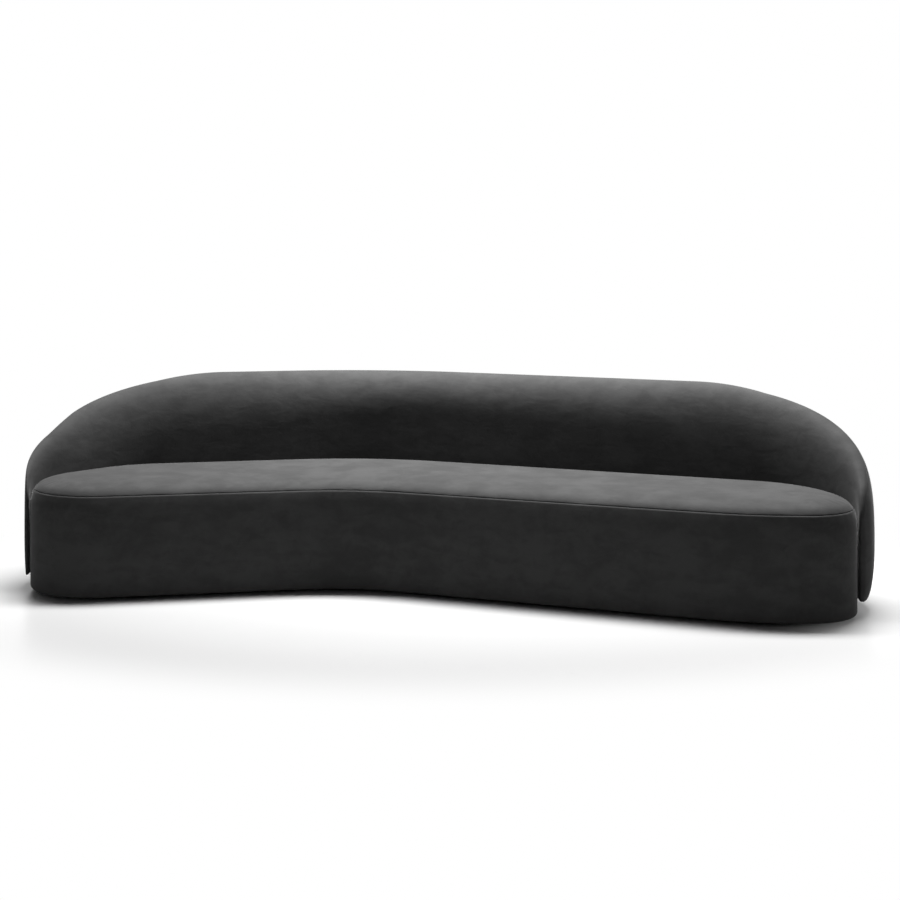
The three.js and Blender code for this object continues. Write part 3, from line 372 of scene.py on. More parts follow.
class Plan:
    """The seat's rounded plan outline, which the band, the cushion and the back all follow."""

    def __init__(self, sizes):
        right = lambda along, across: self.arm_point(1, sizes.right_sweep, along, across)
        left = lambda along, across: self.arm_point(-1, sizes.left_sweep, along, across)
        right_tip = sizes.right_front_along + sizes.right_tip_run
        corners = [
            (right(sizes.right_front_along, 0), sizes.right_front_radius),
            (right(right_tip, sizes.right_tip_across), sizes.right_tip_radius),
            (right(right_tip - sizes.right_back_tuck, sizes.right_back_depth), None),
            (right(sizes.bend_back_along, sizes.bend_depth), sizes.bend_back_radius),
            (left(sizes.left_back_along, sizes.left_back_depth), sizes.left_back_radius),
            (left(sizes.left_back_along + sizes.left_tip_run, 0), None),
            (right(0, 0), sizes.front_bend_radius),
        ]
        self.step = sizes.station_step
        self.points = np.array([point for point, _ in corners])
        self.radii = [radius for _, radius in corners]
        ahead = np.roll(self.points, -1, axis=0) - self.points
        self.headings = ahead / np.linalg.norm(ahead, axis=1)[:, None]
        self.radii[RIGHT_BACK] = self.radius_beside(RIGHT_BACK, RIGHT_TIP, sizes.right_end_straight)
        self.radii[LEFT_TIP] = self.radius_beside(LEFT_TIP, LEFT_BACK, sizes.left_end_straight)
        low, high = (np.array(corner)[:2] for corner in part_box("seat_band_cover"))
        ring, _ = self.outline(0)
        self.bend = (low + high) / 2 - (ring.min(axis=0) + ring.max(axis=0)) / 2
        self.points += self.bend

    @staticmethod
    def arm_point(side, sweep, along, across):
        """Plan point on one arm. Side is 1 for the long right arm and -1 for the short left one."""
        x = side * (along * math.cos(sweep) + across * math.sin(sweep))
        return np.array([x, across * math.cos(sweep) - along * math.sin(sweep)])

    def turn(self, index):
        """How far the outline turns at a corner."""
        before, after = self.headings[index - 1], self.headings[index]
        return math.atan2(before[0] * after[1] - before[1] * after[0], before @ after)

    def radius_beside(self, index, other, straight):
        """Radius of a rounding that takes what a straight stretch and the other rounding leave."""
        edge = np.linalg.norm(self.points[index] - self.points[other])
        taken = self.radii[other] * math.tan(abs(self.turn(other)) / 2)
        return (edge - straight - taken) / math.tan(abs(self.turn(index)) / 2)

    def arc(self, index, inset):
        """Centre, signed radius, first normal angle and turn of the arc that rounds a corner."""
        before, after = self.headings[index - 1], self.headings[index]
        inward_before, inward_after = (np.array([-heading[1], heading[0]]) for heading in (before, after))
        turn = self.turn(index)
        side = math.copysign(1, turn)
        radius = max(0.0, self.radii[index] - side * inset)
        shift = (inward_before + inward_after) * inset / (1 + inward_before @ inward_after)
        corner = self.points[index] + shift
        start = corner - before * radius * math.tan(abs(turn) / 2)
        centre = start + inward_before * side * radius
        return centre, side * radius, math.atan2(-inward_before[1], -inward_before[0]), turn

    @staticmethod
    def on_arc(arc, angles):
        """Points and outward normals on an arc at normal angles."""
        centre, radius, _, _ = arc
        normals = np.stack([np.cos(angles), np.sin(angles)], axis=-1)
        return centre + radius * normals, normals

    def outline(self, inset):
        """Points and outward normals of the outline drawn in by an inset, as many for every inset."""
        points, normals = [], []
        for index, radius in enumerate(self.radii):
            arc = self.arc(index, inset)
            steps = math.ceil(radius * abs(arc[3]) / self.step)
            at, out = self.on_arc(arc, arc[2] + arc[3] * np.arange(steps + 1) / steps)
            next_index = (index + 1) % len(self.radii)
            next_arc = self.arc(next_index, inset)
            next_start = self.on_arc(next_arc, np.array([next_arc[2]]))[0][0]
            full_start = self.on_arc(self.arc(next_index, 0), np.array([next_arc[2]]))[0][0]
            full_end = self.on_arc(self.arc(index, 0), np.array([arc[2] + arc[3]]))[0][0]
            runs = math.ceil(np.linalg.norm(full_start - full_end) / self.step)
            shares = np.arange(1, runs)[:, None] / runs
            points += [at, at[-1] + (next_start - at[-1]) * shares]
            normals += [out, np.repeat(out[-1:], runs - 1, axis=0)]
        return np.concatenate(points), np.concatenate(normals)

    def path(self, right_ridge, left_ridge):
        """The back's path from its right ridge round to its left one, as a finely cut line with normals."""
        points, normals = [], []
        for index in range(RIGHT_TIP, LEFT_TIP + 1):
            arc = self.arc(index, 0)
            first = -right_ridge if index == RIGHT_TIP else arc[2]
            last = math.pi + left_ridge if index == LEFT_TIP else arc[2] + arc[3]
            count = math.ceil((last - first) / math.radians(0.5)) + 1
            at, out = self.on_arc(arc, np.linspace(first, last, count))
            points.append(at)
            normals.append(out)
        points, normals = np.concatenate(points), np.concatenate(normals)
        return travelled_along(points), points, normals


def travelled_along(points):
    """Distance along a line of points at each of them."""
    return np.concatenate([[0.0], np.cumsum(np.linalg.norm(np.diff(points, axis=0), axis=1))])


def on_line(travelled, points, distances):
    """Points at distances along a line."""
    return np.stack([np.interp(distances, travelled, points[:, axis]) for axis in (0, 1)], axis=-1)


def along_path(path, distances):
    """Points and unit normals at distances along a path."""
    travelled, points, normals = path
    out = on_line(travelled, normals, distances)
    return on_line(travelled, points, distances), out / np.linalg.norm(out, axis=1)[:, None]


# Mesh building


def add_object(name, data):
    """New object in the scene."""
    made = bpy.data.objects.new(name, data)
    bpy.context.scene.collection.objects.link(made)
    return made


def mesh_object(name, points, faces):
    """New object from points and faces, smooth all over."""
    mesh = bpy.data.meshes.new(name)
    mesh.from_pydata([tuple(point) for point in points], [], faces)
    mesh.update()
    mesh.validate()
    mesh.shade_smooth()
    return add_object(name, mesh)


def grid_faces(rows, columns, wrap_rows, wrap_columns):
    """Quads of a grid of points stored row by row."""
    faces = []
    for row in range(rows if wrap_rows else rows - 1):
        here, there = row * columns, ((row + 1) % rows) * columns
        for column in range(columns if wrap_columns else columns - 1):
            after = (column + 1) % columns
            faces.append((here + column, here + after, there + after, there + column))
    return faces


def smooth_steps(values):
    """Values from 0 to 1 eased at both ends."""
    held = np.clip(values, 0, 1)
    return held * held * (3 - 2 * held)


def between(first, last, part):
    """Value a part of the way from a first value to a last one."""
    return first + (last - first) * part


def polyline_normals(line):
    """Unit normals to the left of a line of (reach, height) points, for lines stacked in the first axis."""
    tangents = np.gradient(line, axis=1)
    lengths = np.linalg.norm(tangents, axis=2)[..., None]
    tangents = tangents / np.maximum(lengths, TINY)
    return np.stack([-tangents[..., 1], tangents[..., 0]], axis=-1)


def seam_sink(distance, sewing):
    """How deep the surface lies at a distance from a seam: a quarter turn into the seam."""
    turn = np.clip(1 - distance / (2 * sewing.seam_roll), 0, 1)
    return sewing.seam_depth * (1 - np.sqrt(np.clip(1 - turn ** SEAM_POWER, 0, 1)))


def pucker_pattern(ring, sewing):
    """Depth from 0 to 1 of the puckers at the points of a ring beside a seam."""
    positions, total = ring_lengths(ring)
    random = np.random.default_rng(sewing.seed)
    count = int(total / sewing.pucker_spacing)
    stray = random.uniform(-PUCKER_STRAY_SHARE, PUCKER_STRAY_SHARE, count)
    places = (np.arange(count) + stray) * total / count
    depths = random.uniform(*PUCKER_DEPTH_SHARES, count) ** PUCKER_DEPTH_POWER
    widths = sewing.pucker_spacing * random.uniform(*PUCKER_WIDTH_SHARES, count)
    away = np.abs(positions[:, None] - places[None, :])
    away = np.minimum(away, total - away)
    return (depths * np.exp(-(away / widths) ** 2)).sum(axis=1)


def swell(piece, held, sewing, cap_share=1):
    """Lets a piece swell as cloth under pressure, held where its weights are 1, and keeps the new
    shape."""
    mesh = piece.data
    before = np.empty(len(mesh.vertices) * 3)
    mesh.vertices.foreach_get("co", before)
    group = piece.vertex_groups.new(name="held")
    levels = np.round(held * WEIGHT_STEPS).astype(int)
    for level in np.unique(levels[levels > 0]):
        group.add(np.flatnonzero(levels == level).tolist(), level / WEIGHT_STEPS, "REPLACE")
    modifier = piece.modifiers.new("swell", "CLOTH")
    cloth = modifier.settings
    cloth.vertex_group_mass = group.name
    cloth.quality = 5
    cloth.mass = 0.3
    cloth.use_pressure = True
    cloth.uniform_pressure_force = sewing.pressure
    cloth.effector_weights.gravity = 0
    modifier.collision_settings.use_collision = False
    modifier.point_cache.frame_start = 1
    modifier.point_cache.frame_end = sewing.swell_frames
    scene = bpy.context.scene
    for frame_number in range(1, sewing.swell_frames + 1):
        scene.frame_set(frame_number)
    swollen = piece.evaluated_get(bpy.context.evaluated_depsgraph_get()).data
    after = np.empty(len(before))
    swollen.vertices.foreach_get("co", after)
    move = (after - before).reshape(-1, 3)
    size = np.linalg.norm(move, axis=1)
    cap = sewing.swell_cap * cap_share
    move *= (cap * np.tanh(size / cap) / np.maximum(size, TINY))[:, None]
    piece.modifiers.remove(modifier)
    piece.vertex_groups.remove(group)
    mesh.vertices.foreach_set("co", (before.reshape(-1, 3) + move).ravel())
    mesh.update()
    scene.frame_set(1)


def add_subdivision(piece):
    """Rounds a piece off with one subdivision surface."""
    modifier = piece.modifiers.new("rounding", "SUBSURF")
    modifier.levels = modifier.render_levels = 1
    modifier.boundary_smooth = "PRESERVE_CORNERS"


def show_velvet(piece, shown):
    """Velvet on the faces that are shown, and foam on the others."""
    for polygon, is_shown in zip(piece.data.polygons, shown):
        polygon.material_index = 0 if is_shown else 1


def seam_height(seat):
    """Height of the seam round the seat block."""
    return seat.seat_height - seat.seam_drop


def foam_bottom(seat):
    """Height of the seat foam's underside."""
    return seat.seat_height - seat.shoulder_drop - seat.foam_skirt


def crown_height(inset, seat):
    """Height of the seat top at an inset from the outline."""
    run = np.clip((inset - seat.shoulder_run) / seat.crown_run, 0, 1)
    return seat.seat_height + seat.crown_rise * np.sin(run * math.pi / 2)


def seat_profile(seat):
    """The seat block's outside from its hem up to its crown: (inset, height) points, and the distance
    travelled along them."""
    quarter = np.linspace(0, math.pi / 2, 60)
    hem = np.stack([
        seat.hem_run * (1 - np.sin(quarter)),
        seat.hem_height + seat.hem_rise * (1 - np.cos(quarter)),
    ], axis=-1)
    shoulder_foot = seat.seat_height - seat.shoulder_drop
    wall = np.stack([np.zeros(30), np.linspace(hem[-1, 1], shoulder_foot, 30)], axis=-1)[1:]
    shoulder = np.stack([
        seat.shoulder_run * (1 - np.cos(quarter)),
        shoulder_foot + seat.shoulder_drop * np.sin(quarter),
    ], axis=-1)[1:]
    inner = np.linspace(seat.shoulder_run, seat.fill_inset, 12)[1:]
    crown = np.stack([inner, crown_height(inner, seat)], axis=-1)
    line = np.concatenate([hem, wall, shoulder, crown])
    return travelled_along(line), line


def profile_at_seam(seat, sewing):
    """The seat block's profile, how far along it the seam lies, and how far from it the nearest rows lie."""
    travelled, line = seat_profile(seat)
    seam = float(np.interp(seam_height(seat), line[:, 1], travelled))
    return (travelled, line), seam, sewing.seam_roll * np.array(SEAM_ROWS)


def on_profile(profile, lengths, sink):
    """(inset, height) points at lengths along a profile, sunk into the block by a depth."""
    nudge = 0.5 * MM
    tangent = on_line(*profile, lengths + nudge) - on_line(*profile, lengths - nudge)
    tangent /= np.linalg.norm(tangent, axis=1)[:, None]
    inward = np.stack([tangent[:, 1], -tangent[:, 0]], axis=-1)
    return on_line(*profile, lengths) + inward * sink[:, None]


def spaced(first, last, step):
    """Even values from first to last, about a step apart, without both ends."""
    count = max(2, math.ceil(abs(last - first) / step))
    return np.linspace(first, last, count + 1)[1:-1]


def lifted(ring, height):
    """Plan points set at a height."""
    return np.column_stack([ring, np.full(len(ring), height)])


def ring_rows(plan, rows):
    """Points in space for rows of (inset, height), one ring of the outline for each row."""
    return np.stack([lifted(plan.outline(inset)[0], height) for inset, height in rows])


def filled(ring, step, height_of):
    """Even triangles inside a plan ring: the new points, and faces that count the ring's points first."""
    low, high = ring.min(axis=0), ring.max(axis=0)
    rise = step * math.sqrt(3) / 2
    lattice = []
    for index, y in enumerate(np.arange(low[1] + rise, high[1], rise)):
        x = np.arange(low[0] + step * (index % 2) / 2, high[0], step)
        lattice.append(lifted(x, y))
    lattice = np.concatenate(lattice)
    lattice = lattice[points_inside(lattice, ring)]
    lattice = lattice[ring_distance(lattice, ring) > step * FILL_MARGIN_SHARE]
    points = [tuple(point) for point in np.concatenate([ring, lattice])]
    edges = [(index, (index + 1) % len(ring)) for index in range(len(ring))]
    _, _, faces, originals, _, _ = delaunay_2d_cdt(points, edges, [], 1, SAME_PLACE)
    lookup = [source[0] for source in originals]
    triangles = [tuple(lookup[corner] for corner in face) for face in faces]
    return np.column_stack([lattice, height_of(lattice)]), triangles


def placed(faces, ring_size, ring_start, new_start, turned):
    """Faces of a filled ring, for a mesh that stores the ring's points and the new ones from two starts."""
    starts = (ring_start, new_start - ring_size)
    faces = [tuple(corner + starts[corner >= ring_size] for corner in face) for face in faces]
    return [face[::-1] for face in faces] if turned else faces


def points_inside(points, ring):
    """Whether plan points lie inside a ring, by counting crossings."""
    ahead = np.roll(ring, -1, axis=0)
    inside = np.zeros(len(points), dtype=bool)
    for (x0, y0), (x1, y1) in zip(ring, ahead):
        if y0 == y1:
            continue
        beside = (y0 > points[:, 1]) != (y1 > points[:, 1])
        crossing = x0 + (points[:, 1] - y0) * (x1 - x0) / (y1 - y0)
        inside ^= beside & (points[:, 0] < crossing)
    return inside


def ring_distance(points, ring):
    """Distance from plan points to the nearest point of a ring, taken a part of the ring at a time."""
    distances = np.full(len(points), np.inf)
    batch = 64
    for start in range(0, len(ring), batch):
        away = np.linalg.norm(points[:, None, :] - ring[None, start:start + batch, :], axis=2).min(axis=1)
        distances = np.minimum(distances, away)
    return distances


def ring_lengths(ring):
    """Distance along a ring at each of its points, and its total length."""
    steps = np.linalg.norm(np.roll(ring, -1, axis=0) - ring, axis=1)
    return np.concatenate([[0.0], np.cumsum(steps)[:-1]]), steps.sum()


def set_finish(piece, *materials):
    """Gives a piece its materials."""
    piece.data.materials.clear()
    for material in materials:
        piece.data.materials.append(material)


def pucker_depths(distances, ring, sewing):
    """How deep the puckers press into the rows of a ring that lie at distances from the seam."""
    reach = np.exp(-(distances / sewing.pucker_reach) ** PUCKER_FADE_POWER)
    reach = reach * smooth_steps(distances / (3 * sewing.seam_roll))
    return sewing.pucker_depth * reach[:, None] * pucker_pattern(ring, sewing)[None, :]


def make_seat_cushion(plan, seat, sewing):
    """Closed crowned cushion: the velvet top with its shoulder, on the seat foam."""
    profile, seam, close = profile_at_seam(seat, sewing)
    top_length = profile[0][-1] - seam
    away = np.concatenate([close, spaced(close[-1], top_length, seat.top_row_step), [top_length]])
    visible = on_profile(profile, seam + away, seam_sink(away, sewing))
    bottom = foam_bottom(seat)
    hidden = [
        (seat.foam_inset + FOAM_RIM_ROW, bottom),
        (seat.foam_inset + FOAM_EDGE_ROW, bottom),
        (seat.foam_inset, bottom + FOAM_EDGE_ROW),
        (seat.foam_inset, bottom + FOAM_SIDE_ROW),
        (visible[0, 0] + sewing.skin, seam_height(seat) - sewing.skin),
    ]
    points = ring_rows(plan, [*hidden, *visible])
    rows, count = points.shape[:2]
    ring, out = plan.outline(0)
    slope = np.gradient(visible, axis=0)
    slope /= np.linalg.norm(slope, axis=1)[:, None]
    outward = np.stack([
        out[None, :, 0] * slope[:, 1:2],
        out[None, :, 1] * slope[:, 1:2],
        np.repeat(slope[:, 0:1], count, axis=1),
    ], axis=-1)
    points[len(hidden):] -= outward * pucker_depths(away, ring, sewing)[..., None]
    crown = lambda at: crown_height(ring_distance(at, ring), seat)
    top, top_faces = filled(points[-1, :, :2], seat.fill_step, crown)
    base, base_faces = filled(points[0, :, :2], seat.base_fill_step, lambda at: np.full(len(at), bottom))
    first_top = rows * count
    first_base = first_top + len(top)
    faces = grid_faces(rows, count, False, True)
    faces += placed(top_faces, count, first_top - count, first_top, False)
    faces += placed(base_faces, count, 0, first_base, True)
    cushion = mesh_object("seat_cushion", np.concatenate([points.reshape(-1, 3), top, base]), faces)
    held = np.ones(first_base + len(base))
    held_rows = 1 - smooth_steps((away - CUSHION_HOLD) / CUSHION_EASE)
    held[len(hidden) * count:first_top] = np.repeat(held_rows, count)
    held[first_top:first_base] = 0
    swell(cushion, held, sewing)
    add_subdivision(cushion)
    seen = range((len(hidden) - 1) * count, len(faces) - len(base_faces))
    show_velvet(cushion, [index in seen for index in range(len(faces))])
    return cushion


def make_seat_band(plan, seat, sewing):
    """Closed padded ring: the velvet band round the block with its turned hem and its foam."""
    profile, seam, close = profile_at_seam(seat, sewing)
    hem_start = seam - HEM_ZONE
    rest = spaced(close[-1], hem_start, seat.row_step)
    away = np.concatenate([close, rest, np.linspace(hem_start, seam, 9)])
    lip_middle = sewing.lip_width / 2
    lip = sewing.lip_height * np.exp(-((away - lip_middle) / lip_middle) ** 4)
    visible = on_profile(profile, seam - away, seam_sink(away, sewing) - lip)
    top = foam_bottom(seat)
    hidden = [
        (seat.hem_run + HEM_ROW, seat.hem_height),
        (seat.hem_turn, seat.hem_height),
        (seat.hem_turn, seat.hem_height + sewing.skin),
        (seat.band_depth, seat.hem_height + sewing.skin),
        (seat.band_depth, seat.hem_height + FOAM_RIM_ROW),
        (seat.band_depth, top - FOAM_RIM_ROW),
        (seat.band_depth, top - BAND_CLEARANCE),
        (sewing.skin, top - BAND_CLEARANCE),
        (sewing.skin, top + BAND_TOP_ROW),
        (visible[0, 0] + SEAM_CLEARANCE, seam_height(seat) - SEAM_FOLD_SKINS * sewing.skin),
    ]
    points = ring_rows(plan, [*visible, *hidden])
    rows, count = points.shape[:2]
    faces = [face[::-1] for face in grid_faces(rows, count, True, True)]
    band = mesh_object("seat_band", points.reshape(-1, 3), faces)
    held = np.ones(rows)
    free_of_seam = smooth_steps((away - BAND_HOLD) / BAND_EASE)
    free_of_hem = smooth_steps((seam - BAND_HEM_HOLD - away) / BAND_EASE)
    held[:len(away)] = 1 - free_of_seam * free_of_hem
    swell(band, np.repeat(held, count), sewing, BAND_SWELL_SHARE)
    add_subdivision(band)
    show_velvet(band, [index < (len(visible) + 1) * count for index in range(len(faces))])
    return band


# Back shell


def shell_stations(shell, total):
    """Distances along the back's path: close together round each ridge, then even."""
    quarter = np.radians(np.arange(0, 91, 15))
    near = np.concatenate([
        shell.ridge_thickness / 2 * (1 - np.cos(quarter)),
        np.linspace(shell.ridge_thickness / 2, shell.ridge_top_radius, 8)[1:],
    ])
    count = math.ceil((total - 2 * near[-1]) / shell.step)
    middle = np.linspace(near[-1], total - near[-1], count + 1)[1:-1]
    return np.concatenate([near, middle, (total - near)[::-1]])


def rounded_end(distance, radius):
    """Part of its full size that a form has at a distance from its rounded end."""
    return np.sqrt(np.clip(1 - (1 - np.clip(distance / radius, 0, 1)) ** 2, 0, 1))


def swollen(distance, run, power):
    """Part of the way that the back has swelled at a distance from its ridge."""
    return np.sin(math.pi / 2 * np.clip(distance / run, 0, 1)) ** power


class ShellShape:
    """The back's section at each station, as (reach, height) lines stacked by station."""

    def __init__(self, shell, stations, total):
        self.shell = shell
        to_ridge = np.minimum(stations, total - stations)
        self.to_ridge = to_ridge
        right = stations < total / 2
        swell_run = np.where(right, shell.right_swell_run, shell.left_swell_run)
        swell_power = np.where(right, shell.right_swell_power, shell.left_swell_power)
        crest_run = np.where(right, shell.right_crest_run, shell.left_crest_run)
        self.frame_start = np.where(right, shell.right_frame_start, shell.left_frame_start)
        growth = swollen(to_ridge, swell_run, swell_power)
        right_crest_growth = swollen(to_ridge, shell.right_crest_swell_run, shell.right_crest_swell_power)
        crest_growth = np.where(right, right_crest_growth, growth)
        ridge_radius = shell.ridge_thickness / 2
        self.plump = np.maximum(rounded_end(to_ridge, ridge_radius), RIDGE_TIP)
        loss = ridge_radius * (1 - self.plump)
        fall = np.clip(1 - to_ridge / crest_run, 0, 1) ** 2
        self.top = (
            shell.back_height - (shell.back_height - shell.ridge_height) * fall
            - shell.ridge_top_radius * (1 - rounded_end(to_ridge, shell.ridge_top_radius)) - loss
        )
        foot_loss = shell.ridge_foot_radius * (1 - rounded_end(to_ridge, shell.ridge_foot_radius))
        self.foot = shell.foot_height + foot_loss + loss
        self.middle = shell.gap + ridge_radius
        self.outermost = between(shell.gap + shell.ridge_thickness, shell.reach, growth)
        self.crest = between(self.middle, shell.crest_reach, crest_growth)
        self.tuck = between(shell.ridge_tuck, shell.foot_tuck, growth)
        self.lean = between(shell.ridge_lean_share, shell.lean_share, smooth_steps(to_ridge / shell.lean_run))
        near_tip = 1 - smooth_steps(to_ridge / shell.tip_lean_run)
        self.lean = between(self.lean, shell.tip_lean_share, near_tip)
        self.wall_lean = shell.wall_lean * crest_growth
        self.inner_foot = shell.gap + np.minimum(shell.edge_run, (self.outermost - self.tuck - shell.gap) / 2)

    def line(self, reach, share_up):
        """Section line from reaches, which close up where a ridge rounds off, and shares of the height."""
        slimmed = between(self.middle, reach, self.plump[:, None])
        return np.stack([slimmed, between(self.foot[:, None], self.top[:, None], share_up)], axis=-1)

    def inner_edge(self, angles):
        """Round inner foot, from under the back to its inner face."""
        run = (self.inner_foot - self.shell.gap)[:, None]
        reach = self.shell.gap + run * (1 - np.sin(angles))
        return self.line(reach, self.shell.edge_share * (1 - np.cos(angles)))

    def inner_wall(self, parts):
        """Straight part of the inner face, at parts of the way from the rounded foot up to the lean."""
        share_up = self.shell.edge_share + (self.lean[:, None] - self.shell.edge_share) * parts
        return self.line(self.inner_reach(share_up), share_up)

    def inner_reach(self, share_up):
        """Reach of the inner face at shares of the height, one row for each station."""
        lean, crest, wall_lean = self.lean[:, None], self.crest[:, None], self.wall_lean[:, None]
        over = np.clip((share_up - lean) / (1 - lean), 0, 1)
        bent = 1 - (1 - over ** self.shell.lean_power) ** (1 / self.shell.crest_power)
        return self.shell.gap + wall_lean * share_up + (crest - self.shell.gap - wall_lean) * bent

    def inner_lean(self, angles):
        """Leaning part of the inner face, up to the crest."""
        over = np.sin(angles) ** (2 / self.shell.lean_power)
        share_up = self.lean[:, None] + (1 - self.lean[:, None]) * over
        return self.line(self.inner_reach(share_up), share_up)

    def outer_curve(self, angles):
        """Outside from its fullest level at angle 0 up to the crest at a right angle."""
        power = 2 / self.shell.squareness
        out, up = np.cos(angles) ** power, np.sin(angles) ** power
        reach = self.crest[:, None] + (self.outermost - self.crest)[:, None] * out
        return self.line(reach, self.shell.bulge_share + (1 - self.shell.bulge_share) * up)

    def outer_foot(self, angles):
        """Outside from its fullest level at angle 0 down to the foot at a right angle."""
        reach = self.outermost[:, None] - self.tuck[:, None] * (1 - np.cos(angles))
        return self.line(reach, self.shell.bulge_share * (1 - np.sin(angles)))

    def underside(self, shares_in):
        """Flat underside, from the outer foot in to the inner foot."""
        outer = self.outermost - self.tuck
        reach = outer[:, None] + (self.inner_foot - outer)[:, None] * shares_in
        return self.line(reach, np.zeros(len(shares_in)))


def seam_angle(shell):
    """Angle on the outside's curve at which the crest seam lies."""
    return math.asin(shell.seam_share ** (shell.squareness / 2))


def shell_piece(name, path, stations, visible, hidden):
    """Body from visible and hidden section lines, open at both ends. Its velvet is on the visible ones."""
    lines = np.concatenate([visible, hidden], axis=1)
    at, out = along_path(path, stations)
    flat = at[:, None, :] + out[:, None, :] * lines[..., 0:1]
    points = np.concatenate([flat, lines[..., 1:2]], axis=-1)
    rows, columns = points.shape[:2]
    faces = grid_faces(rows, columns, False, True)
    piece = mesh_object(name, points.reshape(-1, 3), faces)
    show_velvet(piece, [face[0] % columns < visible.shape[1] - 1 for face in faces])
    return piece


def close_and_turn(piece):
    """Closes a piece's narrow ends and turns its faces outwards."""
    body = bmesh.new()
    body.from_mesh(piece.data)
    bmesh.ops.remove_doubles(body, verts=body.verts, dist=WELD)
    bmesh.ops.dissolve_degenerate(body, dist=SLIVER, edges=body.edges)
    open_edges = [edge for edge in body.edges if edge.is_boundary]
    ends = bmesh.ops.holes_fill(body, edges=open_edges, sides=0)["faces"]
    bmesh.ops.triangulate(body, faces=ends)
    bmesh.ops.recalc_face_normals(body, faces=body.faces)
    body.to_mesh(piece.data)
    body.free()
    piece.data.update()


def pad_depth(shape, full, part):
    """How thick the padding is at each station: full over the frame, and its part of the ridge elsewhere."""
    room = (shape.outermost - shape.shell.gap)[:, None] * shape.plump[:, None]
    framed = smooth_steps((shape.to_ridge - shape.frame_start + PAD_EASE_START) / PAD_EASE)[:, None]
    return np.minimum(room * part, full) * framed + room * part * (1 - framed)


def back_layout(plan, shell):
    """The back's path, the stations along it, and its shape there."""
    path = plan.path(shell.right_ridge, shell.left_ridge)
    total = path[0][-1]
    stations = shell_stations(shell, total)
    return path, stations, ShellShape(shell, stations, total)


def sunk(lines, shape, sewing, at_last):
    """Section lines sunk into the seam at their last point, or at their first."""
    steps = np.linalg.norm(np.diff(lines, axis=1), axis=2)
    travelled = np.concatenate([np.zeros((len(lines), 1)), np.cumsum(steps, axis=1)], axis=1)
    away = travelled[:, -1:] - travelled if at_last else travelled
    sink = seam_sink(away, sewing) * shape.plump[:, None]
    return lines - polyline_normals(lines) * sink[..., None]


def back_pad(name, layout, visible, hidden, free, sewing, swell_share=1):
    """Closed pad from its visible and hidden section lines, which swells where it is free."""
    path, stations, shape = layout
    piece = shell_piece(name, path, stations, visible, hidden)
    held = np.ones((len(stations), visible.shape[1] + hidden.shape[1]))
    ridge_ease = smooth_steps((shape.to_ridge - RIDGE_HOLD) / RIDGE_EASE)[:, None]
    held[:, :visible.shape[1]] = 1 - free * ridge_ease
    swell(piece, held.ravel(), sewing, swell_share)
    close_and_turn(piece)
    add_subdivision(piece)
    return piece


def make_back_inner(plan, shell, sewing):
    """Closed pad: the velvet inside of the back, over the crest to the seam behind it."""
    layout = back_layout(plan, shell)
    shape = layout[-1]
    quarter = math.pi / 2
    visible = np.concatenate([
        shape.inner_edge(np.linspace(0, quarter, 6)),
        shape.inner_wall(np.linspace(0, 1, 20)[1:-1]),
        shape.inner_lean(np.linspace(0, quarter, 22)),
        shape.outer_curve(np.linspace(quarter, seam_angle(shell), 12)[1:]),
    ], axis=1)
    shares_up = np.linspace(BEHIND_TOP_SHARE, BEHIND_BASE_SHARE, 12)
    behind = shape.line(shape.inner_reach(shares_up), shares_up)
    behind[..., 0] += pad_depth(shape, shell.inner_pad, INNER_PAD_SHARE)
    under_crest = np.stack([
        np.maximum(visible[:, -1:, 0] - (shell.outer_pad * shape.plump)[:, None], behind[:, :1, 0]),
        behind[:, :1, 1],
    ], axis=-1)
    visible = sunk(visible, shape, sewing, True)
    run = visible.shape[1]
    over_seat = smooth_steps((visible[..., 1] - BACK_HOLD_HEIGHT) / BACK_EASE_HEIGHT)
    before_seam = smooth_steps((run - 1 - np.arange(run)[None, :]) / INNER_EASE_ROWS)
    hidden = np.concatenate([under_crest, behind], axis=1)
    return back_pad("back_inner", layout, visible, hidden, over_seat * before_seam, sewing)


def make_back_outer(plan, shell, sewing):
    """Closed pad: the velvet outside of the back, from the seam behind the crest round under its foot."""
    layout = back_layout(plan, shell)
    shape = layout[-1]
    quarter = math.pi / 2
    visible = np.concatenate([
        shape.outer_curve(np.linspace(seam_angle(shell), 0, 30)),
        shape.outer_foot(np.linspace(0, quarter, 14)[1:]),
        shape.underside(np.linspace(0, 1, 5)[1:]),
    ], axis=1)
    behind = np.concatenate([
        shape.outer_foot(np.linspace(quarter * BEHIND_FOOT_SHARE, 0, 6)),
        shape.outer_curve(np.linspace(0, seam_angle(shell) * BEHIND_SEAM_SHARE, 9)),
    ], axis=1)
    behind[..., 0] -= pad_depth(shape, shell.outer_pad, OUTER_PAD_SHARE)
    plump = shape.plump[:, None]
    skin = sewing.skin * plump
    inner_foot = shape.inner_foot[:, None] * plump + shape.middle * (1 - plump)
    behind[..., 0] = np.maximum(behind[..., 0], inner_foot)
    behind[..., 1] = np.maximum(behind[..., 1], shape.foot[:, None] + skin)
    under = visible[:, -1:].copy()
    under[..., 1] += skin
    visible = sunk(visible, shape, sewing, False)
    steps = np.arange(visible.shape[1])
    free = smooth_steps(steps / OUTER_EASE_ROWS)
    free = free * smooth_steps((len(steps) - FOOT_HOLD_ROWS - steps) / OUTER_EASE_ROWS)
    hidden = np.concatenate([under, behind], axis=1)
    return back_pad("back_outer", layout, visible, hidden, free[None, :], sewing, OUTER_SWELL_SHARE)


# Webbing and dust cloth


def swept(centres, across, section):
    """Points of a section swept along centres. The section's points are (across, up) from each centre."""
    tangents = np.gradient(centres, axis=0)
    tangents /= np.linalg.norm(tangents, axis=1)[:, None]
    up = np.cross(across, tangents)
    return np.stack([centres + across * side + up * rise for side, rise in section], axis=1)


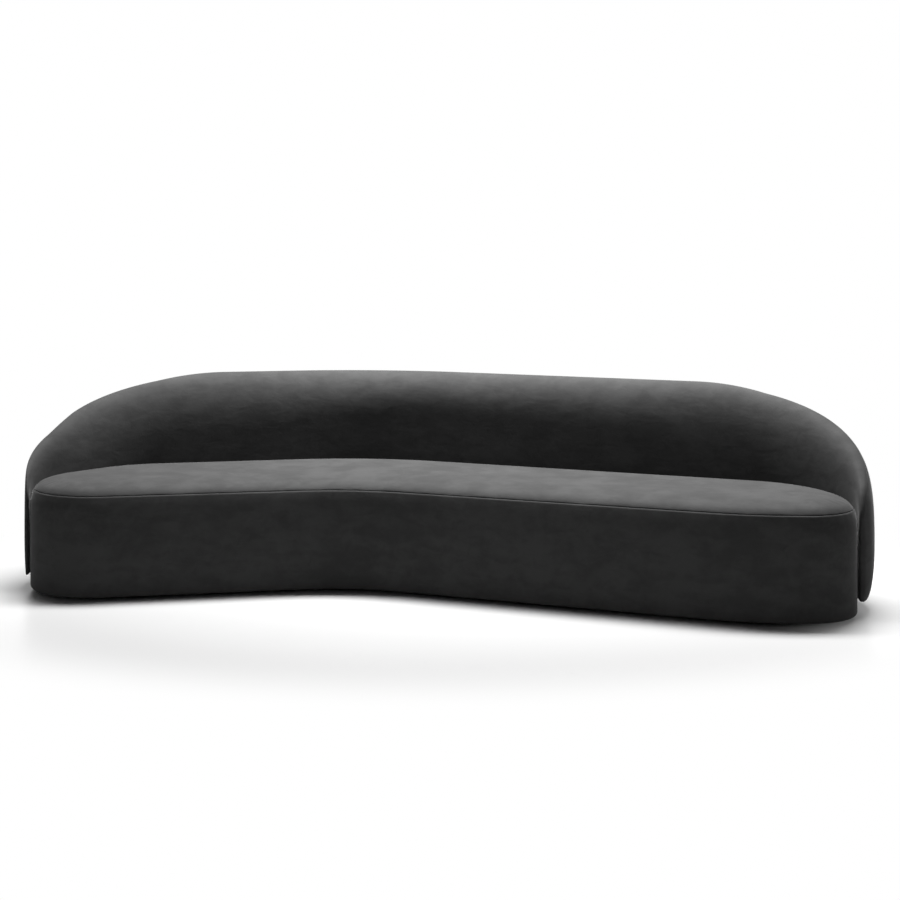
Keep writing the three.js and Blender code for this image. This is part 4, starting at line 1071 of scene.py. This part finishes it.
def swept_faces(rows, columns, first):
    """Faces of a closed sweep whose points start at an index."""
    ends = [tuple(range(columns)), tuple(reversed(range((rows - 1) * columns, rows * columns)))]
    faces = [face[::-1] for face in grid_faces(rows, columns, False, True)] + ends
    return [tuple(corner + first for corner in face) for face in faces]


def round_section(width, thickness):
    """Flat section with round edges, as (across, up) points."""
    bend = np.radians(np.arange(-90, 91, 45))
    radius = thickness / 2
    right = [(width / 2 - radius * (1 - math.cos(turn)), radius * math.sin(turn)) for turn in bend]
    half = right + [(width * part, radius) for part in (0.3, 0.0, -0.3)]
    return half + [(-side, -rise) for side, rise in half]


def strap_line(half, cloth):
    """Middle line of a strap, along and up from its underside: each end is folded back over itself."""
    thickness = cloth.strap_thickness
    low, high = thickness / 2, thickness * FLAP_LEVEL
    bend = np.linspace(-math.pi / 2, math.pi / 2, 7)
    turn = (high - low) / 2
    edge = half - thickness
    fold = np.stack([edge + turn * np.cos(bend), (low + high) / 2 + turn * np.sin(bend)], axis=-1)
    flap = np.stack([np.linspace(edge, half - cloth.strap_fold, 5)[1:], np.full(4, high)], axis=-1)
    end = np.concatenate([fold, flap])
    middle = np.stack([np.linspace(-edge, edge, 42)[1:-1], np.full(40, low)], axis=-1)
    return np.concatenate([end[::-1] * (-1, 1), middle, end])


def strap_place(node, plan):
    """Middle, direction and half length of the strap that lies inside a webbing node."""
    corners = np.array([tuple(vertex.co) for vertex in node.data.vertices])
    flat = corners[:, :2]
    choices = [np.array([math.sin(turn), math.cos(turn)]) for turn in (plan.right_sweep, -plan.left_sweep)]
    along = min(choices, key=lambda choice: np.ptp(flat @ (choice[1], -choice[0])))
    across = np.array([along[1], -along[0]])
    lengthwise, sideways = flat @ along, flat @ across
    sides = (sideways.min(), sideways.max())
    edges = [lengthwise[np.abs(sideways - side) < STRAP_SIDE] for side in sides]
    first, last = max(edge.min() for edge in edges), min(edge.max() for edge in edges)
    middle = across * sum(sides) / 2 + along * (first + last) / 2
    return (*middle, corners[:, 2].min()), math.atan2(along[1], along[0]), (last - first) / 2


def staple_line(cloth):
    """Middle line of a staple, across and up from its crown, with both legs."""
    reach = cloth.staple_crown / 2
    bend = np.linspace(0, math.pi / 2, 4)
    radius = cloth.staple_bend
    corner = np.stack([reach - radius * (1 - np.sin(bend)), -radius * (1 - np.cos(bend))], axis=-1)
    half = np.concatenate([[(0.0, 0.0)], corner, [(reach, -cloth.staple_leg)]])
    return np.concatenate([half[:0:-1] * (-1, 1), half])


def make_strap(name, place, turn, half, cloth):
    """Strap of webbing with both ends folded back, and its staples."""
    line = strap_line(half, cloth)
    centres = np.column_stack([line[:, 0], np.zeros(len(line)), line[:, 1]])
    section = round_section(cloth.strap_width, cloth.strap_thickness)
    points = swept(centres, np.array([0.0, 1.0, 0.0]), section)
    strap = mesh_object(name, points.reshape(-1, 3), swept_faces(len(line), len(section), 0))
    shape = staple_line(cloth)
    wire = round_section(cloth.staple_wire_width, cloth.staple_wire)
    level = line[:, 1].max() + cloth.strap_thickness / 2 - cloth.staple_wire * STAPLE_SINK_SHARE
    row = np.linspace(-STAPLE_SPREAD_SHARE, STAPLE_SPREAD_SHARE, cloth.staples) * cloth.strap_width
    staples, faces = [], []
    for side in (-1, 1):
        for across in row:
            stagger = across % STAPLE_STAGGER - STAPLE_STAGGER / 2
            along = side * (half - cloth.strap_fold * STAPLE_FOLD_SHARE) + stagger
            at = np.column_stack([
                np.full(len(shape), along), across * STAPLE_ROW_SHARE + shape[:, 0], level + shape[:, 1]])
            faces += swept_faces(len(at), len(wire), len(staples) * len(at) * len(wire))
            staples.append(swept(at, np.array([1.0, 0.0, 0.0]), wire).reshape(-1, 3))
    staples = mesh_object(f"{name}_staples", np.concatenate(staples), faces)
    for piece in (strap, staples):
        close_and_turn(piece)
        piece.location = place
        piece.rotation_euler = (0, 0, turn)
    return strap, staples


def make_dust_cloth(plan, cloth):
    """Dust cloth stretched under the base, its edge turned in and stapled, with pulls at the staples."""
    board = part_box("dust_cover")[1][2]
    ring, out = plan.outline(cloth.dust_inset)
    travelled, total = ring_lengths(ring)
    count = max(1, round(total / cloth.tack_spacing))
    pull = cloth.dust_pull * (0.5 - 0.5 * np.cos(travelled / total * count * 2 * math.pi))
    insets = (0, FOLD_BEND, FOLD_END, cloth.dust_hem / 2, cloth.dust_hem, cloth.dust_hem + HEM_STEP)
    layers = (1, 1.8, 2, 2, 2, 1)
    thin = cloth.dust_thickness
    rows_under = [
        lifted(plan.outline(cloth.dust_inset + inset)[0] - out * pull[:, None], board - layer * thin)
        for inset, layer in zip(insets, layers)
    ]
    rows_over = [lifted(rows_under[index][:, :2], board - BOARD_CLEARANCE) for index in (5, 2)]
    rows = [*rows_over, *rows_under]
    edge = rows_under[-1][:, :2]
    under, fill_faces = filled(edge, cloth.cloth_step, lambda at: np.zeros(len(at)))
    room = ring_distance(under[:, :2], edge)
    sag = cloth.dust_sag * np.sin(np.clip(room / cloth.dust_sag_run, 0, 1) * math.pi / 2)
    under[:, 2] = board - thin - sag
    over = under + (0, 0, thin - BOARD_CLEARANCE)
    size = len(ring)
    first_under = len(rows) * size
    faces = [face[::-1] for face in grid_faces(len(rows), size, False, True)]
    faces += placed(fill_faces, size, first_under - size, first_under, True)
    faces += placed(fill_faces, size, 0, first_under + len(under), False)
    piece = mesh_object("dust_cloth", np.concatenate([*rows, under, over]), faces)
    close_and_turn(piece)
    return piece, cloth_area(plan.outline(cloth.dust_inset - cloth.dust_hem)[0])


def cloth_area(ring):
    """Area inside a plan ring."""
    ahead = np.roll(ring, -1, axis=0)
    return abs((ring[:, 0] * ahead[:, 1] - ring[:, 1] * ahead[:, 0]).sum()) / 2


# Materials


def per(millimetres):
    """Texture scale for features that are this many millimetres wide."""
    return 1 / (millimetres * MM)


def fill_inputs(tree, node, inputs):
    """Gives each named input of a node its value, or links it to the output that it is given."""
    for name, value in inputs.items():
        socket = node.inputs[name]
        if isinstance(value, bpy.types.NodeSocket):
            tree.links.new(value, socket)
        else:
            socket.default_value = value
    return node


def add_node(tree, kind, inputs=None, **settings):
    """Adds a node with its settings, and with a value or a link for each input."""
    made = tree.nodes.new(kind)
    for name, value in settings.items():
        setattr(made, name, value)
    return fill_inputs(tree, made, inputs or {})


def new_material(name):
    """New material, its node tree, its shader and its place on the piece."""
    material = bpy.data.materials.new(name)
    material.use_nodes = True
    tree = material.node_tree
    place = add_node(tree, "ShaderNodeTexCoord").outputs["Object"]
    return material, tree, tree.nodes["Principled BSDF"], place


def velvet_material(colours):
    """Short cut-pile cotton velvet, dyed near black. Its pile tips glow where light or eye grazes them,
    and sitting and stroking leave it faintly uneven, which shows where the light comes along the surface."""
    material, tree, shader, place = new_material("cut_pile_velvet")
    lying = add_node(tree, "ShaderNodeMapping", {"Vector": place, "Scale": (per(110), per(110), per(50))})
    strokes = add_node(tree, "ShaderNodeTexNoise", {
        "Vector": lying.outputs["Vector"], "Scale": 1.0, "Detail": 3, "Roughness": 0.5, "Distortion": 0.4})
    patches = add_node(tree, "ShaderNodeTexNoise", {
        "Vector": place, "Scale": per(300), "Detail": 2, "Roughness": 0.5})
    marks = add_node(tree, "ShaderNodeTexNoise", {
        "Vector": place, "Scale": per(45), "Detail": 3, "Roughness": 0.55, "Distortion": 0.8})
    large = add_node(tree, "ShaderNodeMix", {
        "Factor": 0.4, "A": strokes.outputs["Fac"], "B": patches.outputs["Fac"]})
    both = add_node(tree, "ShaderNodeMix", {
        "Factor": 0.25, "A": large.outputs["Result"], "B": marks.outputs["Fac"]})
    spread = add_node(tree, "ShaderNodeMapRange", {
        "Value": both.outputs["Result"], "From Min": 0.38, "From Max": 0.62}, interpolation_type="SMOOTHSTEP")
    tone = add_node(tree, "ShaderNodeMix", {
        "Factor": spread.outputs["Result"], "A": tuple(colours.velvet), "B": tuple(colours.velvet_brushed)},
        data_type="RGBA")
    pile = add_node(tree, "ShaderNodeTexNoise", {
        "Vector": place, "Scale": per(2.2), "Detail": 2, "Roughness": 0.7})
    pile_bump = add_node(tree, "ShaderNodeBump", {
        "Strength": 0.25, "Distance": 0.5 * MM, "Height": pile.outputs["Fac"]})
    lay_bump = add_node(tree, "ShaderNodeBump", {
        "Strength": 1.0, "Distance": 1.5 * MM, "Height": strokes.outputs["Fac"],
        "Normal": pile_bump.outputs["Normal"]})
    mark_bump = add_node(tree, "ShaderNodeBump", {
        "Strength": 1.0, "Distance": 0.7 * MM, "Height": marks.outputs["Fac"],
        "Normal": lay_bump.outputs["Normal"]})
    fill_inputs(tree, shader, {
        "Base Color": tone.outputs["Result"], "Normal": mark_bump.outputs["Normal"], "Roughness": 0.8,
        "Specular IOR Level": 0.1, "Sheen Weight": 0.18, "Sheen Roughness": 0.26,
        "Sheen Tint": tuple(colours.velvet_sheen)})
    return material


def foam_material(colours):
    """Polyurethane foam, cut with a hot wire: matt, cream, with fine open cells."""
    material, tree, shader, place = new_material("cut_polyurethane_foam")
    cells = add_node(tree, "ShaderNodeTexVoronoi", {"Vector": place, "Scale": per(3)})
    bump = add_node(tree, "ShaderNodeBump", {
        "Strength": 0.5, "Distance": 0.6 * MM, "Height": cells.outputs["Distance"]})
    fill_inputs(tree, shader, {
        "Base Color": tuple(colours.foam), "Normal": bump.outputs["Normal"], "Roughness": 1.0})
    return material


def plywood_material(colours):
    """Birch plywood, sanded and left bare: pale, silky, with long darker grain."""
    material, tree, shader, place = new_material("sanded_birch_plywood")
    stretched = add_node(tree, "ShaderNodeMapping", {"Vector": place, "Scale": (per(120), per(120), per(6))})
    grain = add_node(tree, "ShaderNodeTexNoise", {
        "Vector": stretched.outputs["Vector"], "Scale": 1.0, "Detail": 5})
    tone = add_node(tree, "ShaderNodeMix", {
        "Factor": grain.outputs["Fac"], "A": tuple(colours.plywood), "B": tuple(colours.plywood_grain)},
        data_type="RGBA")
    bump = add_node(tree, "ShaderNodeBump", {
        "Strength": 0.2, "Distance": 0.3 * MM, "Height": grain.outputs["Fac"]})
    fill_inputs(tree, shader, {
        "Base Color": tone.outputs["Result"], "Normal": bump.outputs["Normal"], "Roughness": 0.6})
    return material


def webbing_material(colours):
    """Elastic webbing, woven of rubber and polypropylene: dark, with four coloured stripes along it and
    ribs across it. The ribs, about 1.5 mm apart, are drawn twice as coarse, so that they show."""
    material, tree, shader, place = new_material("woven_elastic_webbing")
    ribs = add_node(tree, "ShaderNodeTexWave", {"Vector": place, "Scale": WAVE_LENGTH * per(3)})
    bump = add_node(tree, "ShaderNodeBump", {
        "Strength": 0.6, "Distance": 0.4 * MM, "Height": ribs.outputs["Fac"]})
    bands = add_node(tree, "ShaderNodeTexWave", {
        "Vector": place, "Scale": WAVE_LENGTH * per(14.5)}, bands_direction="Y")
    stripes = add_node(tree, "ShaderNodeMapRange", {
        "Value": bands.outputs["Fac"], "From Min": 0.82, "From Max": 0.92})
    tone = add_node(tree, "ShaderNodeMix", {
        "Factor": stripes.outputs["Result"], "A": tuple(colours.webbing), "B": tuple(colours.webbing_stripe)},
        data_type="RGBA")
    fill_inputs(tree, shader, {
        "Base Color": tone.outputs["Result"], "Normal": bump.outputs["Normal"], "Roughness": 0.85})
    return material


def cambric_material(colours):
    """Spun-bonded polypropylene dust cloth, pressed with small dots: black and dull."""
    material, tree, shader, place = new_material("spun_bonded_dust_cloth")
    dots = add_node(tree, "ShaderNodeTexVoronoi", {"Vector": place, "Scale": per(4), "Randomness": 0.1})
    bump = add_node(tree, "ShaderNodeBump", {
        "Strength": 0.4, "Distance": 0.3 * MM, "Height": dots.outputs["Distance"]})
    fill_inputs(tree, shader, {
        "Base Color": tuple(colours.cambric), "Normal": bump.outputs["Normal"], "Roughness": 0.95})
    return material


def steel_material(colours):
    """Zinc-plated steel, tumbled: bright grey with fine scuffs."""
    material, tree, shader, place = new_material("zinc_plated_steel")
    scuffs = add_node(tree, "ShaderNodeTexNoise", {"Vector": place, "Scale": per(4), "Detail": 4})
    rough = add_node(tree, "ShaderNodeMapRange", {
        "Value": scuffs.outputs["Fac"], "To Min": 0.25, "To Max": 0.5})
    fill_inputs(tree, shader, {
        "Base Color": tuple(colours.steel), "Metallic": 1.0, "Roughness": rough.outputs["Result"]})
    return material


def nylon_material(colours):
    """Injection-moulded nylon: black, with the fine matt grain of its mould."""
    material, tree, shader, place = new_material("moulded_nylon")
    grain = add_node(tree, "ShaderNodeTexNoise", {"Vector": place, "Scale": per(0.8), "Detail": 2})
    bump = add_node(tree, "ShaderNodeBump", {
        "Strength": 0.2, "Distance": 0.1 * MM, "Height": grain.outputs["Fac"]})
    fill_inputs(tree, shader, {
        "Base Color": tuple(colours.nylon), "Normal": bump.outputs["Normal"], "Roughness": 0.5})
    return material


MAKERS = {
    "cut_pile_velvet": velvet_material,
    "cut_polyurethane_foam": foam_material,
    "sanded_birch_plywood": plywood_material,
    "woven_elastic_webbing": webbing_material,
    "spun_bonded_dust_cloth": cambric_material,
    "zinc_plated_steel": steel_material,
    "moulded_nylon": nylon_material,
}


def finish(name, colours):
    """The material of that name, made when it is first asked for."""
    return bpy.data.materials.get(name) or MAKERS[name](colours)


# Operators


def upholster(piece, colours, *nodes):
    """Velvet outside and foam inside for a padded piece, which stands for nodes of the frame."""
    set_finish(piece, finish("cut_pile_velvet", colours), finish("cut_polyurethane_foam", colours))
    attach(piece, BODY)
    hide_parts(*nodes)


class SOFA_OT_seat_cushion(Operator):
    """Makes the crowned seat cushion with its shoulder and puckered seam"""
    bl_idname = "sofa.seat_cushion"
    bl_label = "Seat cushion"

    def execute(self, context):
        sofa = context.scene.curved_sofa
        cushion = make_seat_cushion(Plan(sofa.plan), sofa.seat, sofa.sewing)
        upholster(cushion, sofa.colours, "seat_top_cover", "seat_foam")
        return {"FINISHED"}


class SOFA_OT_seat_band(Operator):
    """Makes the padded band round the seat block, with its turned hem"""
    bl_idname = "sofa.seat_band"
    bl_label = "Seat band"

    def execute(self, context):
        sofa = context.scene.curved_sofa
        band = make_seat_band(Plan(sofa.plan), sofa.seat, sofa.sewing)
        upholster(band, sofa.colours, "seat_band_cover", "front_band_foam", "back_band_foam")
        return {"FINISHED"}


class SOFA_OT_back_pads(Operator):
    """Makes the two padded sides of the back, which meet in a seam behind the crest"""
    bl_idname = "sofa.back_pads"
    bl_label = "Back pads"

    def execute(self, context):
        sofa = context.scene.curved_sofa
        plan = Plan(sofa.plan)
        inner = make_back_inner(plan, sofa.shell, sofa.sewing)
        upholster(inner, sofa.colours, "back_inner_cover", "back_inner_foam", "back_crest_foam")
        outer = make_back_outer(plan, sofa.shell, sofa.sewing)
        upholster(outer, sofa.colours, "back_outer_cover", "back_outer_wadding")
        return {"FINISHED"}


class SOFA_OT_webbing(Operator):
    """Lays the elastic webbing across the seat frame, folded and stapled at both ends"""
    bl_idname = "sofa.webbing"
    bl_label = "Webbing"

    def execute(self, context):
        sofa = context.scene.curved_sofa
        cloth = sofa.cloth
        for name in [name for name in frame["nodes"] if name.startswith("webbing_")]:
            place, turn, half = strap_place(frame["nodes"][name], sofa.plan)
            strap, staples = make_strap(name.replace("webbing", "webbing_strap"), place, turn, half, cloth)
            set_finish(strap, finish("woven_elastic_webbing", sofa.colours))
            set_finish(staples, finish("zinc_plated_steel", sofa.colours))
            for piece in (strap, staples):
                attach(piece, BODY)
            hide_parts(name)
        return {"FINISHED"}


class SOFA_OT_dust_cloth(Operator):
    """Stretches the dust cloth under the base board"""
    bl_idname = "sofa.dust_cloth"
    bl_label = "Dust cloth"

    def execute(self, context):
        sofa = context.scene.curved_sofa
        piece, cut = make_dust_cloth(Plan(sofa.plan), sofa.cloth)
        set_finish(piece, finish("spun_bonded_dust_cloth", sofa.colours))
        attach(piece, BODY)
        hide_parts("dust_cover")
        return {"FINISHED"}


class SOFA_OT_frame_finish(Operator):
    """Finishes the plywood frame, the bolts and the feet"""
    bl_idname = "sofa.frame_finish"
    bl_label = "Frame finish"

    def execute(self, context):
        colours = context.scene.curved_sofa.colours
        slots = {entry["node"]: entry["material_slot"] for entry in frame["record"]["subparts"]}
        finishes = {
            "plywood": "sanded_birch_plywood",
            "zinc_steel": "zinc_plated_steel",
            "nylon": "moulded_nylon",
        }
        for name, node in frame["nodes"].items():
            if slots[name] in finishes:
                set_finish(node, finish(finishes[slots[name]], colours))
        return {"FINISHED"}


def seen_directly(tree):
    """1 for rays that bring the camera its picture, also by a gloss, and 0 for those that light the sofa."""
    ray = add_node(tree, "ShaderNodeLightPath")
    seen = add_node(tree, "ShaderNodeMath", {
        0: ray.outputs["Is Camera Ray"], 1: ray.outputs["Is Glossy Ray"]}, operation="MAXIMUM")
    seen = add_node(tree, "ShaderNodeMath", {
        0: seen.outputs["Value"], 1: ray.outputs["Is Transmission Ray"]}, operation="MAXIMUM")
    return seen.outputs["Value"]


def floor_material(colours, stage):
    """Painted studio floor, rolled matt with a faint gloss: it holds the sofa's shadow and a soft
    reflection, and turns to plain white away from it."""
    material, tree, shader, place = new_material("rolled_white_floor_paint")
    seen = seen_directly(tree)
    tone = add_node(tree, "ShaderNodeMix", {
        "Factor": seen, "A": tuple(colours.floor_bounce), "B": tuple(colours.floor)}, data_type="RGBA")
    fill_inputs(tree, shader, {
        "Base Color": tone.outputs["Result"], "Roughness": 0.3, "Specular IOR Level": 0.35})
    flat = add_node(tree, "ShaderNodeMapping", {
        "Vector": place, "Scale": (1 / stage.shadow_width, 1 / stage.shadow_depth, 0)})
    away = add_node(tree, "ShaderNodeVectorMath", {0: flat.outputs["Vector"]}, operation="LENGTH")
    white = add_node(tree, "ShaderNodeMapRange", {
        "Value": away.outputs["Value"], "From Min": stage.white_start, "From Max": stage.white_end},
        interpolation_type="SMOOTHERSTEP")
    part = add_node(tree, "ShaderNodeMath", {0: white.outputs["Result"], 1: seen}, operation="MULTIPLY")
    glow = add_node(tree, "ShaderNodeEmission", {"Color": (1, 1, 1, 1), "Strength": 1.0})
    both = add_node(tree, "ShaderNodeMixShader", {
        0: part.outputs["Value"], 1: shader.outputs["BSDF"], 2: glow.outputs["Emission"]})
    fill_inputs(tree, tree.nodes["Material Output"], {"Surface": both.outputs["Shader"]})
    return material


def make_floor(stage):
    """Round floor that curves up into a backdrop far away."""
    hub, first_ring = 10 * MM, 500 * MM
    curve = np.linspace(0, math.pi / 2, 16)
    radii = np.concatenate([
        [hub],
        np.linspace(first_ring, stage.floor_radius, 24),
        stage.floor_radius + stage.backdrop_radius * np.sin(curve[1:]),
    ])
    rise = stage.backdrop_radius * (1 - np.cos(curve))
    heights = np.concatenate([np.zeros(len(radii) - len(rise)), rise])
    turns = np.linspace(0, 2 * math.pi, 97)[:-1]
    points = np.stack([
        radii[:, None] * np.cos(turns),
        radii[:, None] * np.sin(turns),
        np.repeat(heights[:, None], len(turns), axis=1),
    ], axis=-1)
    faces = grid_faces(len(radii), len(turns), False, True)
    faces.append(tuple(reversed(range(len(turns)))))
    return mesh_object("studio_floor", points.reshape(-1, 3), faces)


def add_softbox(name, place, target, size, power, spread):
    """Rectangular soft lamp at a place, turned towards a target. A spread below 180 degrees is a grid's."""
    lamp = bpy.data.lights.new(name, "AREA")
    lamp.shape = "RECTANGLE"
    lamp.size, lamp.size_y = size
    lamp.energy = power
    lamp.spread = spread
    holder = add_object(name, lamp)
    holder.location = place
    holder.rotation_euler = (Vector(target) - Vector(place)).to_track_quat("-Z", "Y").to_euler()


def make_world(stage):
    """Faint light from all round, which the camera sees as plain white."""
    world = bpy.data.worlds.new("studio_air")
    world.use_nodes = True
    tree = world.node_tree
    level = add_node(tree, "ShaderNodeMix", {"Factor": seen_directly(tree), "A": stage.world_level, "B": 1.0})
    fill_inputs(tree, tree.nodes["Background"], {"Color": (1, 1, 1, 1), "Strength": level.outputs["Result"]})
    return world


def make_camera(stage, bend):
    """Level camera in front of the sofa, placed from the bend in its front."""
    camera = bpy.data.cameras.new("photo_camera")
    camera.lens = stage.focal_length
    camera.sensor_width = stage.sensor_width
    camera.shift_y = stage.horizon_shift
    eye = add_object("photo_camera", camera)
    eye.location = (bend[0] + stage.camera_right, bend[1] - stage.camera_away, stage.camera_height)
    eye.rotation_euler = (math.pi / 2, 0, 0)
    return eye


class SOFA_OT_stage(Operator):
    """Sets the floor, the lamps, the world and the camera"""
    bl_idname = "sofa.stage"
    bl_label = "Stage"

    def execute(self, context):
        scene = context.scene
        sofa = scene.curved_sofa
        stage = sofa.stage
        floor = make_floor(stage)
        set_finish(floor, floor_material(sofa.colours, stage))
        add_softbox(
            "overhead_softbox", stage.top_lamp_place, stage.top_lamp_target,
            (stage.top_lamp_width, stage.top_lamp_depth), stage.top_lamp_power, stage.top_lamp_spread)
        add_softbox(
            "front_softbox", stage.front_lamp_place, stage.front_lamp_target,
            (stage.front_lamp_width, stage.front_lamp_depth), stage.front_lamp_power, stage.front_lamp_spread)
        scene.world = make_world(stage)
        scene.camera = make_camera(stage, Plan(sofa.plan).bend)
        scene.view_settings.view_transform = "Standard"
        return {"FINISHED"}


class SOFA_PT_panel(Panel):
    """Lists the sofa's operators and settings"""
    bl_idname = "SOFA_PT_panel"
    bl_label = "Curved sofa"
    bl_space_type = "VIEW_3D"
    bl_region_type = "UI"
    bl_category = "Sofa"

    def draw(self, context):
        for operator in OPERATORS:
            self.layout.operator(operator.bl_idname)
        sofa = context.scene.curved_sofa
        for group in (sofa.plan, sofa.seat, sofa.shell, sofa.sewing, sofa.cloth, sofa.colours, sofa.stage):
            box = self.layout.box()
            for name in group.bl_rna.properties.keys():
                if name not in {"rna_type", "name"}:
                    box.prop(group, name)


GROUPS = (
    PlanSettings, SeatSettings, ShellSettings, SewingSettings, ClothSettings, ColourSettings, StageSettings,
    SofaSettings)
OPERATORS = (
    SOFA_OT_seat_cushion, SOFA_OT_seat_band, SOFA_OT_back_pads, SOFA_OT_webbing, SOFA_OT_dust_cloth,
    SOFA_OT_frame_finish, SOFA_OT_stage)


def register():
    """Registers the classes, and the sofa's settings on the scene."""
    for item in (*GROUPS, *OPERATORS, SOFA_PT_panel):
        bpy.utils.register_class(item)
    bpy.types.Scene.curved_sofa = PointerProperty(type=SofaSettings)


def unregister():
    """Takes the settings and the classes off again."""
    del bpy.types.Scene.curved_sofa
    for item in reversed((*GROUPS, *OPERATORS, SOFA_PT_panel)):
        bpy.utils.unregister_class(item)


def main():
    """Builds the whole sofa."""
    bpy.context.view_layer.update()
    register()
    for operator in OPERATORS:
        group, name = operator.bl_idname.split(".")
        getattr(getattr(bpy.ops, group), name)()


if __name__ == "__main__":
    main()
